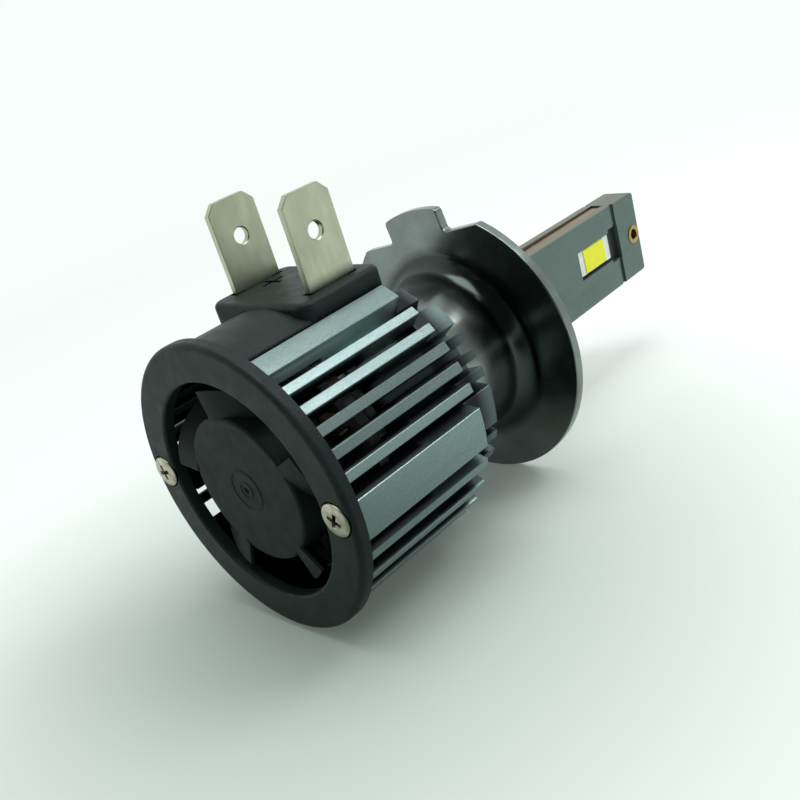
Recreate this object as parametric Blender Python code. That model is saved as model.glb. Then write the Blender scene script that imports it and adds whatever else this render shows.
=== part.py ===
"""Headlight bulb with LEDs on a flat stick, a finned heat sink and a cooling fan.

The bulb's axis is X. The front face of the steel flange, which seats in the lamp, is the plane X = 0:
the LED stick points along +X and the fan is at the -X end. The spade terminals point along +Z. The side
called near faces -Y and the side called far faces +Y. Angles about the axis are in degrees, start at +Z
and grow towards +Y.
"""

import math

import bmesh
import bpy
from mathutils import Matrix, Vector

MM = 0.001

# Clearances
GAP = 0.3 * MM
FIT = 0.15 * MM
RUN = 0.6 * MM
CUT_OVER = 1.0 * MM

# Clocking about the axis, in degrees
SINK_ROLL = 1.8
COLLAR_ROLL = -7.8

# Round pieces, in segments and degrees
ROUND_STEPS = 60
HIDDEN_STEPS = 36
SMALL_STEPS = 20
FILLET_STEPS = 4
ARC_STEP_ANGLE = 4.0
SMOOTH_ANGLE = 35.0
MERGE_WITHIN = 0.0001 * MM

# Steel collar
FLANGE_THICK = 1.2 * MM
FLANGE_RADIUS = 16.8 * MM
FLANGE_FLAT = 13.74 * MM
FLANGE_CORNER = 0.7 * MM
FLANGE_EDGE = 0.12 * MM
LUG_WIDTH = 8.9 * MM
LUG_RADIUS = 17.1 * MM
LUG_CORNER = 0.6 * MM
NECK_LENGTH = 10.2 * MM
NECK_RADIUS = 9.6 * MM
NECK_FLARE = 2.4 * MM
NECK_WALL = 1.7 * MM

# Heat sink
RIB_LENGTH = 4.45 * MM
RIB_RADIUS = 13.6 * MM
FIN_LENGTH = 16.85 * MM
FIN_RADIUS = 15.8 * MM
FIN_THICK = 1.05 * MM
CORE_LENGTH = 12.8 * MM
CORE_RADIUS = 11.5 * MM
BORE_RADIUS = 13.9 * MM
SHELF_WIDTH = 0.7 * MM
SPIGOT_REACH = 0.5 * MM
POCKET_RADIUS = 6.0 * MM
POCKET_DEPTH = 5.0 * MM
SIDE_FINS = 5
SIDE_FIN_FIRST_ANGLE = 41.8
SIDE_FIN_PITCH_ANGLE = 8.85
LOWER_FINS_EACH_SIDE = 6
LOWER_FIN_PITCH_ANGLE = 11.7
SCREW_LAND_ANGLE = 93.9
SCREW_LAND_WIDTH = 4.56 * MM
SCREW_BOSS_INNER = 12.7 * MM
SCREW_BOSS_OUTER = 15.0 * MM
ARM_LAND_ANGLE = -29.1
ARM_LAND_WIDTH = 2.5 * MM

# Fan cover with its terminal block
COVER_THICK = 2.7 * MM
COVER_RADIUS = 16.5 * MM
COVER_OPENING = 12.36 * MM
COVER_ROUND = 0.6 * MM
COVER_LIP = 1.4 * MM
COVER_LIP_ROUND = 0.35 * MM
ARM_THICK = 1.6 * MM
BLOCK_LENGTH = 11.2 * MM
BLOCK_OVERHANG = 1.15 * MM
BLOCK_TOP = 16.2 * MM
BLOCK_CORNER = 1.5 * MM
BLOCK_EDGE = 0.45 * MM
BLOCK_EDGE_STEPS = 3
BLOCK_ROOF = 1.3 * MM
BLOCK_WALL = 0.6 * MM

# Cover screws
SCREW_CIRCLE = 14.3 * MM
SCREW_HEAD_RADIUS = 1.8 * MM
SCREW_HEAD_PROUD = 0.2 * MM
SCREW_CONE_DEPTH = 1.1 * MM
SCREW_SHANK_RADIUS = 0.8 * MM
SCREW_GRIP = 3.2 * MM
CROSS_WIDTH = 0.5 * MM
CROSS_LENGTH = 2.1 * MM
CROSS_DEPTH = 0.7 * MM

# Spade terminals
TAB_WIDTH = 6.3 * MM
TAB_THICK = 0.8 * MM
TAB_HEIGHT = 9.8 * MM
TAB_CHAMFER = 1.1 * MM
TAB_EDGE = 0.15 * MM
TAB_HOLE_RADIUS = 0.9 * MM
TAB_HOLE_DROP = 4.3 * MM
TAB_FOOT_SINK = 0.05 * MM
TAB_RECESS_DEPTH = 0.5 * MM
TAB_CENTRE_X = -20.25 * MM
TAB_NEAR_Y = -4.47 * MM
TAB_FAR_Y = 8.15 * MM
TANG_WIDTH = 4.0 * MM
TANG_THICK = 0.7 * MM
TANG_LENGTH = 3.6 * MM

# Driver board and the parts on it
BOARD_RADIUS = 11.4 * MM
BOARD_THICK = 1.0 * MM
BOARD_FLAT = 8.8 * MM
BOARD_PART_HEIGHT = 1.2 * MM
INDUCTOR_RADIUS = 2.4 * MM
CHIP_SIDE = 4.0 * MM
CHIP_HEIGHT = 0.8 * MM
CAPACITOR_SIZE = (2.6 * MM, 1.7 * MM)
DIODE_SIZE = (2.8 * MM, 1.6 * MM)
DIODE_HEIGHT = 0.9 * MM

# Places of those parts on the board, as (Y, Z)
INDUCTOR_AT = (-5.0 * MM, -4.6 * MM)
CHIP_AT = (4.6 * MM, 3.4 * MM)
INPUT_CAPACITOR_AT = (-5.4 * MM, 3.6 * MM)
OUTPUT_CAPACITOR_AT = (5.6 * MM, -3.0 * MM)
DIODE_AT = (1.2 * MM, -7.4 * MM)

# Leads
LEAD_RING_STEPS = 2
SUPPLY_LEAD_RADIUS = 0.4 * MM
SUPPLY_LEAD_DROP = 0.8 * MM
SUPPLY_LEAD_FAR_SHIFT = 2.2 * MM
LED_LEAD_RADIUS = 0.4 * MM
FAN_LEAD_RADIUS = 0.3 * MM
FAN_LEAD_SPREAD = 0.8 * MM
FAN_LEAD_CIRCLE = 4.6 * MM

# Fan rotor
HUB_RADIUS = 8.28 * MM
HUB_DEPTH = 6.2 * MM
HUB_WALL = 0.9 * MM
HUB_ROUND = 0.35 * MM
HUB_BOSS_RADIUS = 1.7 * MM
HUB_BOSS_HEIGHT = 0.8 * MM
SHAFT_RADIUS = 0.6 * MM
SHAFT_SEAT_DEPTH = 1.4 * MM
YOKE_WALL = 0.5 * MM
MAGNET_WALL = 1.0 * MM
BLADES = 5
BLADE_FIRST_ANGLE = 10.0
BLADE_SWEEP_ANGLE = 48.0
BLADE_STEPS = 7
BLADE_TIP = 11.3 * MM
BLADE_LENGTH = 4.9 * MM
BLADE_CAMBER = 2.0
BLADE_THICK = 0.45 * MM
BLADE_SINK = 0.3 * MM
BLADE_INSET = 0.1 * MM
CLIP_RADIUS = 1.3 * MM
CLIP_THICK = 0.3 * MM

# Fan stator
BASE_THICK = 1.2 * MM
BASE_RING_WIDTH = 1.5 * MM
BASE_DISC_RADIUS = 6.0 * MM
STRUTS = 3
STRUT_WIDTH = 1.6 * MM
STRUT_FIRST_ANGLE = 60.0
SLEEVE_WALL = 0.75 * MM
TUBE_WALL = 0.45 * MM
TUBE_FLOOR = 0.5 * MM
MOTOR_BOARD_THICK = 0.6 * MM
STACK_LENGTH = 2.4 * MM
AIR_GAP = 0.4 * MM
POLES = 4
POLE_WIDTH = 1.2 * MM
POLE_SHOE = 0.9 * MM
POLE_SHOE_HALF_ANGLE = 28.0
STACK_RING = 0.8 * MM
COIL_WALL = 0.6 * MM

# LED stick
STICK_LENGTH = 36.75 * MM
STICK_ROOT_HEIGHT = 12.0 * MM
STICK_TIP_HEIGHT = 11.4 * MM
STICK_THICK = 4.4 * MM
STICK_CORNER = 0.5 * MM
STICK_EDGE = 0.18 * MM
CARRIER_THICK = 1.5 * MM
CARRIER_HEIGHT = 11.0 * MM
CARRIER_TAIL = 2.5 * MM
TIP_BLOCK_LENGTH = 5.6 * MM
GROOVE_CENTRE_X = 31.25 * MM
GROOVE_WIDTH = 0.9 * MM
GROOVE_DEPTH = 0.5 * MM
NOTCH_END_X = 31.8 * MM
NOTCH_CENTRE_Z = 0.4 * MM
NOTCH_HEIGHT = 4.8 * MM
NOTCH_DEPTH = 1.0 * MM
LED_CENTRE_X = 25.8 * MM
LED_CENTRE_Z = 0.55 * MM
LED_LENGTH = 7.2 * MM
LED_HEIGHT = 3.4 * MM
LED_BODY_THICK = 1.05 * MM
LED_ROOM_BELOW = 0.45 * MM
PHOSPHOR_LENGTH = 5.0 * MM
PHOSPHOR_HEIGHT = 3.2 * MM
PHOSPHOR_THICK = 0.12 * MM
RIVET_FROM_TIP = 1.45 * MM
RIVET_HEAD_RADIUS = 1.25 * MM
RIVET_HEAD_THICK = 0.12 * MM
RIVET_SHANK_RADIUS = 0.95 * MM
RIVET_BORE = 0.7 * MM

# Places along the axis, from the seat back to the fan
NECK_REAR = -(FLANGE_THICK + NECK_LENGTH)
SINK_FRONT = NECK_REAR - GAP
FIN_FRONT = SINK_FRONT - RIB_LENGTH
SINK_REAR = FIN_FRONT - FIN_LENGTH
CORE_REAR = SINK_FRONT - CORE_LENGTH
BOARD_FRONT = CORE_REAR - GAP
BOARD_REAR = BOARD_FRONT - BOARD_THICK
SHELF_X = BOARD_REAR - FIT - BOARD_PART_HEIGHT
BASE_FRONT = SHELF_X - GAP
BASE_REAR = BASE_FRONT - BASE_THICK
HUB_FRONT = BASE_REAR - RUN
HUB_REAR = HUB_FRONT - HUB_DEPTH
COVER_FRONT = SINK_REAR - GAP
COVER_REAR = COVER_FRONT - COVER_THICK
BLOCK_FRONT = FIN_FRONT + BLOCK_OVERHANG
BLOCK_REAR = BLOCK_FRONT - BLOCK_LENGTH

# Fits that follow from the sizes above
COLLAR_BORE = NECK_RADIUS - NECK_WALL
SPIGOT_RADIUS = COLLAR_BORE - GAP
SHELF_RADIUS = BORE_RADIUS - SHELF_WIDTH
TUBE_BORE = SHAFT_RADIUS + FIT + SLEEVE_WALL + FIT
TUBE_RADIUS = TUBE_BORE + TUBE_WALL
YOKE_RADIUS = HUB_RADIUS - HUB_WALL - FIT
MAGNET_RADIUS = YOKE_RADIUS - YOKE_WALL - FIT
STACK_RADIUS = MAGNET_RADIUS - MAGNET_WALL - AIR_GAP
STACK_BORE = TUBE_RADIUS + FIT
SHOE_INNER = STACK_RADIUS - POLE_SHOE
MOTOR_BOARD_FRONT = BASE_REAR - FIT
MOTOR_BOARD_REAR = MOTOR_BOARD_FRONT - MOTOR_BOARD_THICK
COIL_FRONT = MOTOR_BOARD_REAR - GAP
STACK_FRONT = COIL_FRONT - COIL_WALL - FIT
STACK_REAR = STACK_FRONT - STACK_LENGTH
COIL_REAR = STACK_REAR - FIT - COIL_WALL
HUB_FLOOR = HUB_REAR + HUB_WALL
HUB_BOSS_FRONT = HUB_FLOOR + HUB_BOSS_HEIGHT
SHAFT_FRONT = BASE_FRONT - TUBE_FLOOR - GAP
CLIP_REAR = SHAFT_FRONT - CLIP_THICK
ARM_FAR_ANGLE = SIDE_FIN_FIRST_ANGLE - SINK_ROLL
ARM_NEAR_ANGLE = ARM_LAND_ANGLE - SINK_ROLL
PLATE_REAR = SPIGOT_REACH + GAP
PLATE_INNER = CARRIER_THICK / 2 + FIT
PLATE_OUTER = STICK_THICK / 2
TIP_BLOCK_REAR = STICK_LENGTH - TIP_BLOCK_LENGTH
CARRIER_REAR = CORE_REAR + CARRIER_TAIL


def clear_scene():
    """Removes the objects of the startup file."""
    for old in list(bpy.data.objects):
        bpy.data.objects.remove(old)


def material(name, colour, roughness, metallic=0.0):
    """A plain Principled material."""
    made = bpy.data.materials.new(name)
    made.use_nodes = True
    shader = made.node_tree.nodes["Principled BSDF"]
    shader.inputs["Base Color"].default_value = (*colour, 1.0)
    shader.inputs["Roughness"].default_value = roughness
    shader.inputs["Metallic"].default_value = metallic
    return made


def polar(radius, degrees):
    """The (Y, Z) point at this radius and angle about the axis."""
    angle = math.radians(degrees)
    return radius * math.sin(angle), radius * math.cos(angle)


def side_angle(offset, radius):
    """Degrees from a radial line to a side that runs beside it, at this radius."""
    return math.degrees(math.asin(offset / radius))


def arc(radius, start, stop):
    """(Y, Z) points of an arc about the axis, both ends included."""
    count = max(1, math.ceil(abs(stop - start) / ARC_STEP_ANGLE))
    return [polar(radius, start + (stop - start) * i / count) for i in range(count + 1)]


def quarter(centre, radius, start, stop, steps=FILLET_STEPS):
    """Points of a fillet: angles in degrees from the first axis of the plane to the second."""
    points = []
    for i in range(steps + 1):
        angle = math.radians(start + (stop - start) * i / steps)
        points.append((centre[0] + radius * math.cos(angle), centre[1] + radius * math.sin(angle)))
    return points


def fillet(before, corner, after, radius):
    """Points of the tangent arc that rounds a corner of an outline."""
    to_before = (Vector(before) - Vector(corner)).normalized()
    to_after = (Vector(after) - Vector(corner)).normalized()
    half = to_before.angle(to_after) / 2
    centre = Vector(corner) + (to_before + to_after).normalized() * radius / math.sin(half)
    start = Vector(corner) + to_before * radius / math.tan(half) - centre
    stop = Vector(corner) + to_after * radius / math.tan(half) - centre
    first = math.degrees(math.atan2(start.y, start.x))
    turn = math.degrees(math.atan2(start.cross(stop), start.dot(stop)))
    return quarter(centre, radius, first, first + turn)


def place(name, mesh_data, look, parent=None):
    """Links a finished mesh or curve into the scene as a named object."""
    made = bpy.data.objects.new(name, mesh_data)
    bpy.context.scene.collection.objects.link(made)
    if look is not None:
        mesh_data.materials.append(look)
    made.parent = parent
    return made


def finish(name, bm, look, parent=None):
    """Turns a bmesh into an object with outward normals and smooth round faces."""
    bmesh.ops.recalc_face_normals(bm, faces=bm.faces)
    mesh = bpy.data.meshes.new(name)
    bm.to_mesh(mesh)
    bm.free()
    mesh.shade_smooth()
    mesh.set_sharp_from_angle(angle=math.radians(SMOOTH_ANGLE))
    return place(name, mesh, look, parent)


def revolve(name, profile, look=None, parent=None, steps=ROUND_STEPS):
    """A solid of revolution about X from (X, radius) points; an open profile ends on the axis."""
    bm = bmesh.new()
    verts = [bm.verts.new((x, 0.0, radius)) for x, radius in profile]
    on_axis = profile[0][1] == 0.0 and profile[-1][1] == 0.0
    pairs = list(zip(verts, verts[1:]))
    if not on_axis:
        pairs.append((verts[-1], verts[0]))
    edges = [bm.edges.new(pair) for pair in pairs]
    bmesh.ops.spin(
        bm,
        geom=verts + edges,
        cent=(0.0, 0.0, 0.0),
        axis=(1.0, 0.0, 0.0),
        angle=2 * math.pi,
        steps=steps,
        use_merge=True,
    )
    bmesh.ops.remove_doubles(bm, verts=bm.verts, dist=MERGE_WITHIN)
    return finish(name, bm, look, parent)


def extrude(name, outline, start, stop, axis="X", look=None, parent=None):
    """A prism: the outline is (Y, Z) points along X, (X, Z) points along Y or (X, Y) points along Z."""
    order = {"X": (2, 0, 1), "Y": (0, 2, 1), "Z": (0, 1, 2)}[axis]
    bm = bmesh.new()
    verts = []
    for a, b in outline:
        flat = (a, b, start)
        verts.append(bm.verts.new([flat[i] for i in order]))
    face = bm.faces.new(verts)
    moved = bmesh.ops.extrude_face_region(bm, geom=[face])
    reach = Vector([(0.0, 0.0, stop - start)[i] for i in order])
    new_verts = [item for item in moved["geom"] if isinstance(item, bmesh.types.BMVert)]
    bmesh.ops.translate(bm, verts=new_verts, vec=reach)
    return finish(name, bm, look, parent)


def block(name, x_range, y_range, z_range, look=None, parent=None):
    """A rectangular solid between these limits."""
    outline = [
        (y_range[0], z_range[0]),
        (y_range[1], z_range[0]),
        (y_range[1], z_range[1]),
        (y_range[0], z_range[1]),
    ]
    return extrude(name, outline, x_range[0], x_range[1], "X", look, parent)


def rounded_rectangle(x_range, y_range, corner):
    """Outline points of a rectangle with round corners."""
    left, right = x_range[0] + corner, x_range[1] - corner
    low, high = y_range[0] + corner, y_range[1] - corner
    return (
        quarter((right, low), corner, -90, 0)
        + quarter((right, high), corner, 0, 90)
        + quarter((left, high), corner, 90, 180)
        + quarter((left, low), corner, 180, 270)
    )


def tube(name, points, radius, look, parent=None):
    """A round lead along the points, with closed ends."""
    curve = bpy.data.curves.new(name, "CURVE")
    curve.dimensions = "3D"
    curve.bevel_depth = radius
    curve.bevel_resolution = LEAD_RING_STEPS
    curve.use_fill_caps = True
    spline = curve.splines.new("POLY")
    spline.points.add(len(points) - 1)
    for point, place_at in zip(spline.points, points):
        point.co = (*place_at, 1.0)
    return place(name, curve, look, parent)


def soften(target, width, segments=1):
    """Adds a Bevel modifier that breaks the sharp edges of a piece."""
    modifier = target.modifiers.new("edges", "BEVEL")
    modifier.width = width
    modifier.segments = segments
    modifier.limit_method = "ANGLE"
    modifier.angle_limit = math.radians(SMOOTH_ANGLE)
    return target


def helper(tool):
    """Keeps a cutter or a joined shape out of the finished part."""
    tool.hide_render = True
    tool.display_type = "WIRE"
    return tool


def combine(target, operation, tools):
    """Adds one Boolean modifier for each tool."""
    for tool in tools:
        modifier = target.modifiers.new(tool.name, "BOOLEAN")
        modifier.operation = operation
        modifier.object = helper(tool)
    return target


def axis_empty(name, roll=0.0):
    """An empty on the bulb's axis that carries pieces clocked about it."""
    made = bpy.data.objects.new(name, None)
    bpy.context.scene.collection.objects.link(made)
    made.rotation_euler.x = math.radians(roll)
    return made


def sink_ribs():
    """(angle, width) of every fin and land of the heat sink, in order about the axis."""
    ribs = [(ARM_LAND_ANGLE, ARM_LAND_WIDTH)]
    for side in (-1, 1):
        ribs.append((side * SCREW_LAND_ANGLE, SCREW_LAND_WIDTH))
        for i in range(SIDE_FINS):
            ribs.append((side * (SIDE_FIN_FIRST_ANGLE + i * SIDE_FIN_PITCH_ANGLE), FIN_THICK))
    for i in range(-LOWER_FINS_EACH_SIDE, LOWER_FINS_EACH_SIDE + 1):
        angle = 180.0 + i * LOWER_FIN_PITCH_ANGLE
        ribs.append((angle if angle <= 180.0 else angle - 360.0, FIN_THICK))
    return sorted(ribs)


def sink_outline():
    """Cross-section of the heat sink: parallel-sided fins standing on a round core."""
    ribs = sink_ribs()
    points = []
    for i, (angle, width) in enumerate(ribs):
        top = side_angle(width / 2, FIN_RADIUS)
        foot = side_angle(width / 2, CORE_RADIUS)
        following, next_width = ribs[(i + 1) % len(ribs)]
        turn = 360.0 if i + 1 == len(ribs) else 0.0
        next_foot = following + turn - side_angle(next_width / 2, CORE_RADIUS)
        points += arc(FIN_RADIUS, angle - top, angle + top)
        points += arc(CORE_RADIUS, angle + foot, next_foot)
    return points


def make_heat_sink(look, axis):
    """The finned aluminium body, bored for the fan and turned down at its front end."""
    sink = extrude("heat_sink", sink_outline(), SINK_REAR, SINK_FRONT, "X", look, axis)
    turned = revolve(
        "sink_turning",
        [
            (FIN_FRONT, RIB_RADIUS),
            (SINK_FRONT + CUT_OVER, RIB_RADIUS),
            (SINK_FRONT + CUT_OVER, FIN_RADIUS + CUT_OVER),
            (FIN_FRONT, FIN_RADIUS + CUT_OVER),
        ],
        parent=axis,
    )
    bore = revolve(
        "sink_bore",
        [
            (SINK_REAR - CUT_OVER, 0.0),
            (SINK_REAR - CUT_OVER, BORE_RADIUS),
            (SHELF_X, BORE_RADIUS),
            (SHELF_X, SHELF_RADIUS),
            (CORE_REAR, SHELF_RADIUS),
            (CORE_REAR, POCKET_RADIUS),
            (CORE_REAR + POCKET_DEPTH, POCKET_RADIUS),
            (CORE_REAR + POCKET_DEPTH, 0.0),
        ],
        parent=axis,
    )
    spigot = revolve(
        "sink_spigot",
        [
            (SINK_FRONT - CUT_OVER, 0.0),
            (SINK_FRONT - CUT_OVER, SPIGOT_RADIUS),
            (SPIGOT_REACH, SPIGOT_RADIUS),
            (SPIGOT_REACH, 0.0),
        ],
        parent=axis,
    )
    slot = block(
        "sink_slot",
        (CORE_REAR, SPIGOT_REACH + CUT_OVER),
        (-CARRIER_THICK / 2 - FIT, CARRIER_THICK / 2 + FIT),
        (-CARRIER_HEIGHT / 2 - FIT, CARRIER_HEIGHT / 2 + FIT),
        parent=axis,
    )
    holes = []
    for side in (-1, 1):
        hole = revolve(
            "sink_screw_hole",
            [
                (SINK_REAR - CUT_OVER, 0.0),
                (SINK_REAR - CUT_OVER, SCREW_SHANK_RADIUS + FIT),
                (SINK_REAR + SCREW_GRIP + GAP, SCREW_SHANK_RADIUS + FIT),
                (SINK_REAR + SCREW_GRIP + GAP, 0.0),
            ],
            parent=axis,
            steps=SMALL_STEPS,
        )
        hole.location.y = side * SCREW_CIRCLE
        holes.append(hole)
    combine(sink, "DIFFERENCE", [turned, bore])
    combine(sink, "UNION", [spigot] + screw_bosses(SINK_REAR + FIT, BASE_REAR - GAP, axis))
    return combine(sink, "DIFFERENCE", [slot] + holes)


def screw_bosses(rear, front, axis):
    """Two solids that thicken the screw lands inwards, between two places along the axis."""
    half = SCREW_LAND_WIDTH / 2 - FIT
    bosses = []
    for side in (-1, 1):
        outline = []
        for radius, sign in (
            (SCREW_BOSS_INNER, -1),
            (SCREW_BOSS_OUTER, -1),
            (SCREW_BOSS_OUTER, 1),
            (SCREW_BOSS_INNER, 1),
        ):
            lean = math.degrees(math.atan2(sign * half, radius))
            outline.append(polar(math.hypot(radius, half), side * SCREW_LAND_ANGLE + lean))
        bosses.append(extrude("screw_boss", outline, rear, front, "X", parent=axis))
    return bosses


def arm_angles(radius, clearance):
    """Near and far angles of the cover's arm at this radius, clear of the fins beside it."""
    near = ARM_NEAR_ANGLE + side_angle(ARM_LAND_WIDTH / 2 + clearance, radius)
    far = ARM_FAR_ANGLE - side_angle(FIN_THICK / 2 + clearance, radius)
    return near, far


def make_fan_cover(look, axis):
    """The moulded cover: a ring over the fan with an arm that carries the terminal block."""
    lip_front = COVER_REAR + COVER_LIP
    lip_corner = (COVER_REAR + COVER_LIP_ROUND, COVER_OPENING + COVER_LIP_ROUND)
    rim_corner = (COVER_REAR + COVER_ROUND, COVER_RADIUS - COVER_ROUND)
    cover = revolve(
        "fan_cover",
        [(COVER_FRONT, BORE_RADIUS), (lip_front, BORE_RADIUS), (lip_front, COVER_OPENING)]
        + quarter(lip_corner, COVER_LIP_ROUND, 270, 180)
        + quarter(rim_corner, COVER_ROUND, 180, 90)
        + [(COVER_FRONT, COVER_RADIUS)],
        look,
    )
    inner = FIN_RADIUS - ARM_THICK
    near_out, far_out = arm_angles(FIN_RADIUS, GAP)
    near_in, far_in = arm_angles(inner, GAP)
    arm = extrude(
        "cover_arm",
        arc(FIN_RADIUS, near_out, far_out) + arc(inner, far_in, near_in),
        COVER_FRONT - CUT_OVER,
        BLOCK_REAR + BLOCK_WALL / 2,
    )
    near_y = polar(FIN_RADIUS, near_out)[0]
    far_y = polar(FIN_RADIUS, far_out)[0]
    seat = CORE_RADIUS + GAP
    body = extrude(
        "terminal_block",
        rounded_rectangle((BLOCK_REAR, BLOCK_FRONT), (near_y, far_y), BLOCK_CORNER),
        seat / 2,
        BLOCK_TOP,
        "Z",
    )
    soften(body, BLOCK_EDGE, BLOCK_EDGE_STEPS)
    core_room = revolve(
        "block_core_room",
        [
            (BLOCK_REAR - CUT_OVER, 0.0),
            (BLOCK_REAR - CUT_OVER, seat),
            (BLOCK_FRONT + CUT_OVER, seat),
            (BLOCK_FRONT + CUT_OVER, 0.0),
        ],
    )
    clear = FIN_RADIUS + GAP
    near_clear, far_clear = arm_angles(clear, GAP)
    near_seat, far_seat = arm_angles(CORE_RADIUS, GAP)
    fin_room = extrude(
        "block_fin_room",
        arc(clear, far_clear, near_clear + 360.0)
        + [polar(CORE_RADIUS, near_seat), polar(CORE_RADIUS / 2, near_seat)]
        + [polar(CORE_RADIUS / 2, far_seat), polar(CORE_RADIUS, far_seat)],
        BLOCK_REAR - CUT_OVER,
        BLOCK_FRONT + CUT_OVER,
    )
    hollow = block(
        "block_hollow",
        (BLOCK_REAR + BLOCK_WALL, BLOCK_FRONT - BLOCK_WALL),
        (TAB_NEAR_Y - TAB_THICK / 2 - GAP, TAB_FAR_Y + TAB_THICK / 2 + GAP),
        (0.0, BLOCK_TOP - BLOCK_ROOF),
    )
    slots = []
    for y in (TAB_NEAR_Y, TAB_FAR_Y):
        slots.append(
            block(
                "tang_slot",
                (TAB_CENTRE_X - TANG_WIDTH / 2 - FIT, TAB_CENTRE_X + TANG_WIDTH / 2 + FIT),
                (y - TAB_THICK / 2 - FIT, y + TAB_THICK / 2 + FIT),
                (seat, BLOCK_TOP + CUT_OVER),
            )
        )
        slots.append(
            block(
                "shoulder_recess",
                (TAB_CENTRE_X - TAB_WIDTH / 2 - FIT, TAB_CENTRE_X + TAB_WIDTH / 2 + FIT),
                (y - TAB_THICK / 2 - FIT, y + TAB_THICK / 2 + FIT),
                (BLOCK_TOP - TAB_RECESS_DEPTH, BLOCK_TOP + CUT_OVER),
            )
        )
    combine(body, "DIFFERENCE", [core_room, fin_room, hollow] + slots)
    combine(cover, "UNION", screw_bosses(lip_front - FIT, COVER_FRONT - FIT, axis))
    recesses = []
    for side in (-1, 1):
        recess = revolve("screw_recess", screw_profile(FIT, CUT_OVER), parent=axis, steps=SMALL_STEPS)
        recess.location.y = side * SCREW_CIRCLE
        recesses.append(recess)
    combine(cover, "DIFFERENCE", recesses)
    return combine(cover, "UNION", [arm, body])


def screw_profile(clearance, proud):
    """(X, radius) outline of a countersunk cover screw, or of its recess with a clearance."""
    cone_end = COVER_REAR + SCREW_CONE_DEPTH + clearance
    return [
        (COVER_REAR - proud, 0.0),
        (COVER_REAR - proud, SCREW_HEAD_RADIUS + clearance),
        (COVER_REAR + clearance, SCREW_HEAD_RADIUS + clearance),
        (cone_end, SCREW_SHANK_RADIUS + clearance),
        (SINK_REAR + SCREW_GRIP + clearance, SCREW_SHANK_RADIUS + clearance),
        (SINK_REAR + SCREW_GRIP + clearance, 0.0),
    ]


def make_cover_screw(name, side, look, axis):
    """A cross-head screw through the cover into a land of the heat sink."""
    screw = revolve(name, screw_profile(0.0, SCREW_HEAD_PROUD), look, axis, SMALL_STEPS)
    screw.location.y = side * SCREW_CIRCLE
    top = COVER_REAR - SCREW_HEAD_PROUD
    arms = []
    for across, tall in ((CROSS_LENGTH, CROSS_WIDTH), (CROSS_WIDTH, CROSS_LENGTH)):
        arms.append(
            block(
                "cross_recess",
                (top - CUT_OVER, top + CROSS_DEPTH),
                (-across / 2, across / 2),
                (-tall / 2, tall / 2),
                parent=axis,
            )
        )
        arms[-1].location.y = side * SCREW_CIRCLE
    return combine(screw, "DIFFERENCE", arms)


def make_terminal(name, y, look):
    """A spade terminal: a chamfered blade with a hole, on a thinner tang through the block's roof."""
    foot = BLOCK_TOP - TAB_FOOT_SINK
    top = BLOCK_TOP + TAB_HEIGHT
    left, right = TAB_CENTRE_X - TAB_WIDTH / 2, TAB_CENTRE_X + TAB_WIDTH / 2
    tang_left, tang_right = TAB_CENTRE_X - TANG_WIDTH / 2, TAB_CENTRE_X + TANG_WIDTH / 2
    outline = [
        (left, foot),
        (right, foot),
        (right, top - TAB_CHAMFER),
        (right - TAB_CHAMFER, top),
        (left + TAB_CHAMFER, top),
        (left, top - TAB_CHAMFER),
    ]
    tab = extrude(name, outline, y - TAB_THICK / 2, y + TAB_THICK / 2, "Y", look)
    soften(tab, TAB_EDGE)
    tang_low, tang_high = BLOCK_TOP - TANG_LENGTH, foot + TAB_THICK
    tang = extrude(
        "tab_tang",
        [(tang_left, tang_low), (tang_right, tang_low), (tang_right, tang_high), (tang_left, tang_high)],
        y - TANG_THICK / 2,
        y + TANG_THICK / 2,
        "Y",
    )
    combine(tab, "UNION", [tang])
    hole_at = (TAB_CENTRE_X, top - TAB_HOLE_DROP)
    hole = extrude(
        "tab_hole",
        quarter(hole_at, TAB_HOLE_RADIUS, 0, 360, SMALL_STEPS)[:-1],
        y - TAB_THICK,
        y + TAB_THICK,
        "Y",
    )
    return combine(tab, "DIFFERENCE", [hole])


def make_supply_lead(name, tab_y, board_y, look):
    """A lead from the foot of a terminal's tang down to the top edge of the driver board."""
    start_z = BLOCK_TOP - TANG_LENGTH - FIT - SUPPLY_LEAD_RADIUS
    end_z = BOARD_FLAT + GAP
    down_x = (CORE_REAR + BLOCK_REAR + BLOCK_WALL) / 2
    middle_y = (tab_y + board_y) / 2
    points = [
        (TAB_CENTRE_X, tab_y, start_z),
        ((TAB_CENTRE_X + CORE_REAR) / 2, (tab_y + middle_y) / 2, start_z),
        (CORE_REAR + SUPPLY_LEAD_RADIUS, middle_y, start_z),
        (down_x, (middle_y + board_y) / 2, start_z - SUPPLY_LEAD_DROP),
        (down_x, board_y, (start_z + end_z) / 2),
        (down_x, board_y, end_z),
    ]
    return tube(name, points, SUPPLY_LEAD_RADIUS, look)


def make_driver_board(look, axis):
    """The round driver board, cut flat at the top where the leads arrive."""
    half = math.degrees(math.acos(BOARD_FLAT / BOARD_RADIUS))
    outline = arc(BOARD_RADIUS, half, 360.0 - half)
    return extrude("driver_board", outline, BOARD_REAR, BOARD_FRONT, "X", look, axis)


def board_part(name, centre, size, height, look, axis):
    """A moulded part on the rear face of the driver board."""
    top = BOARD_REAR - FIT
    y, z = centre
    return block(
        name,
        (top - height, top),
        (y - size[0] / 2, y + size[0] / 2),
        (z - size[1] / 2, z + size[1] / 2),
        look,
        axis,
    )


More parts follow.
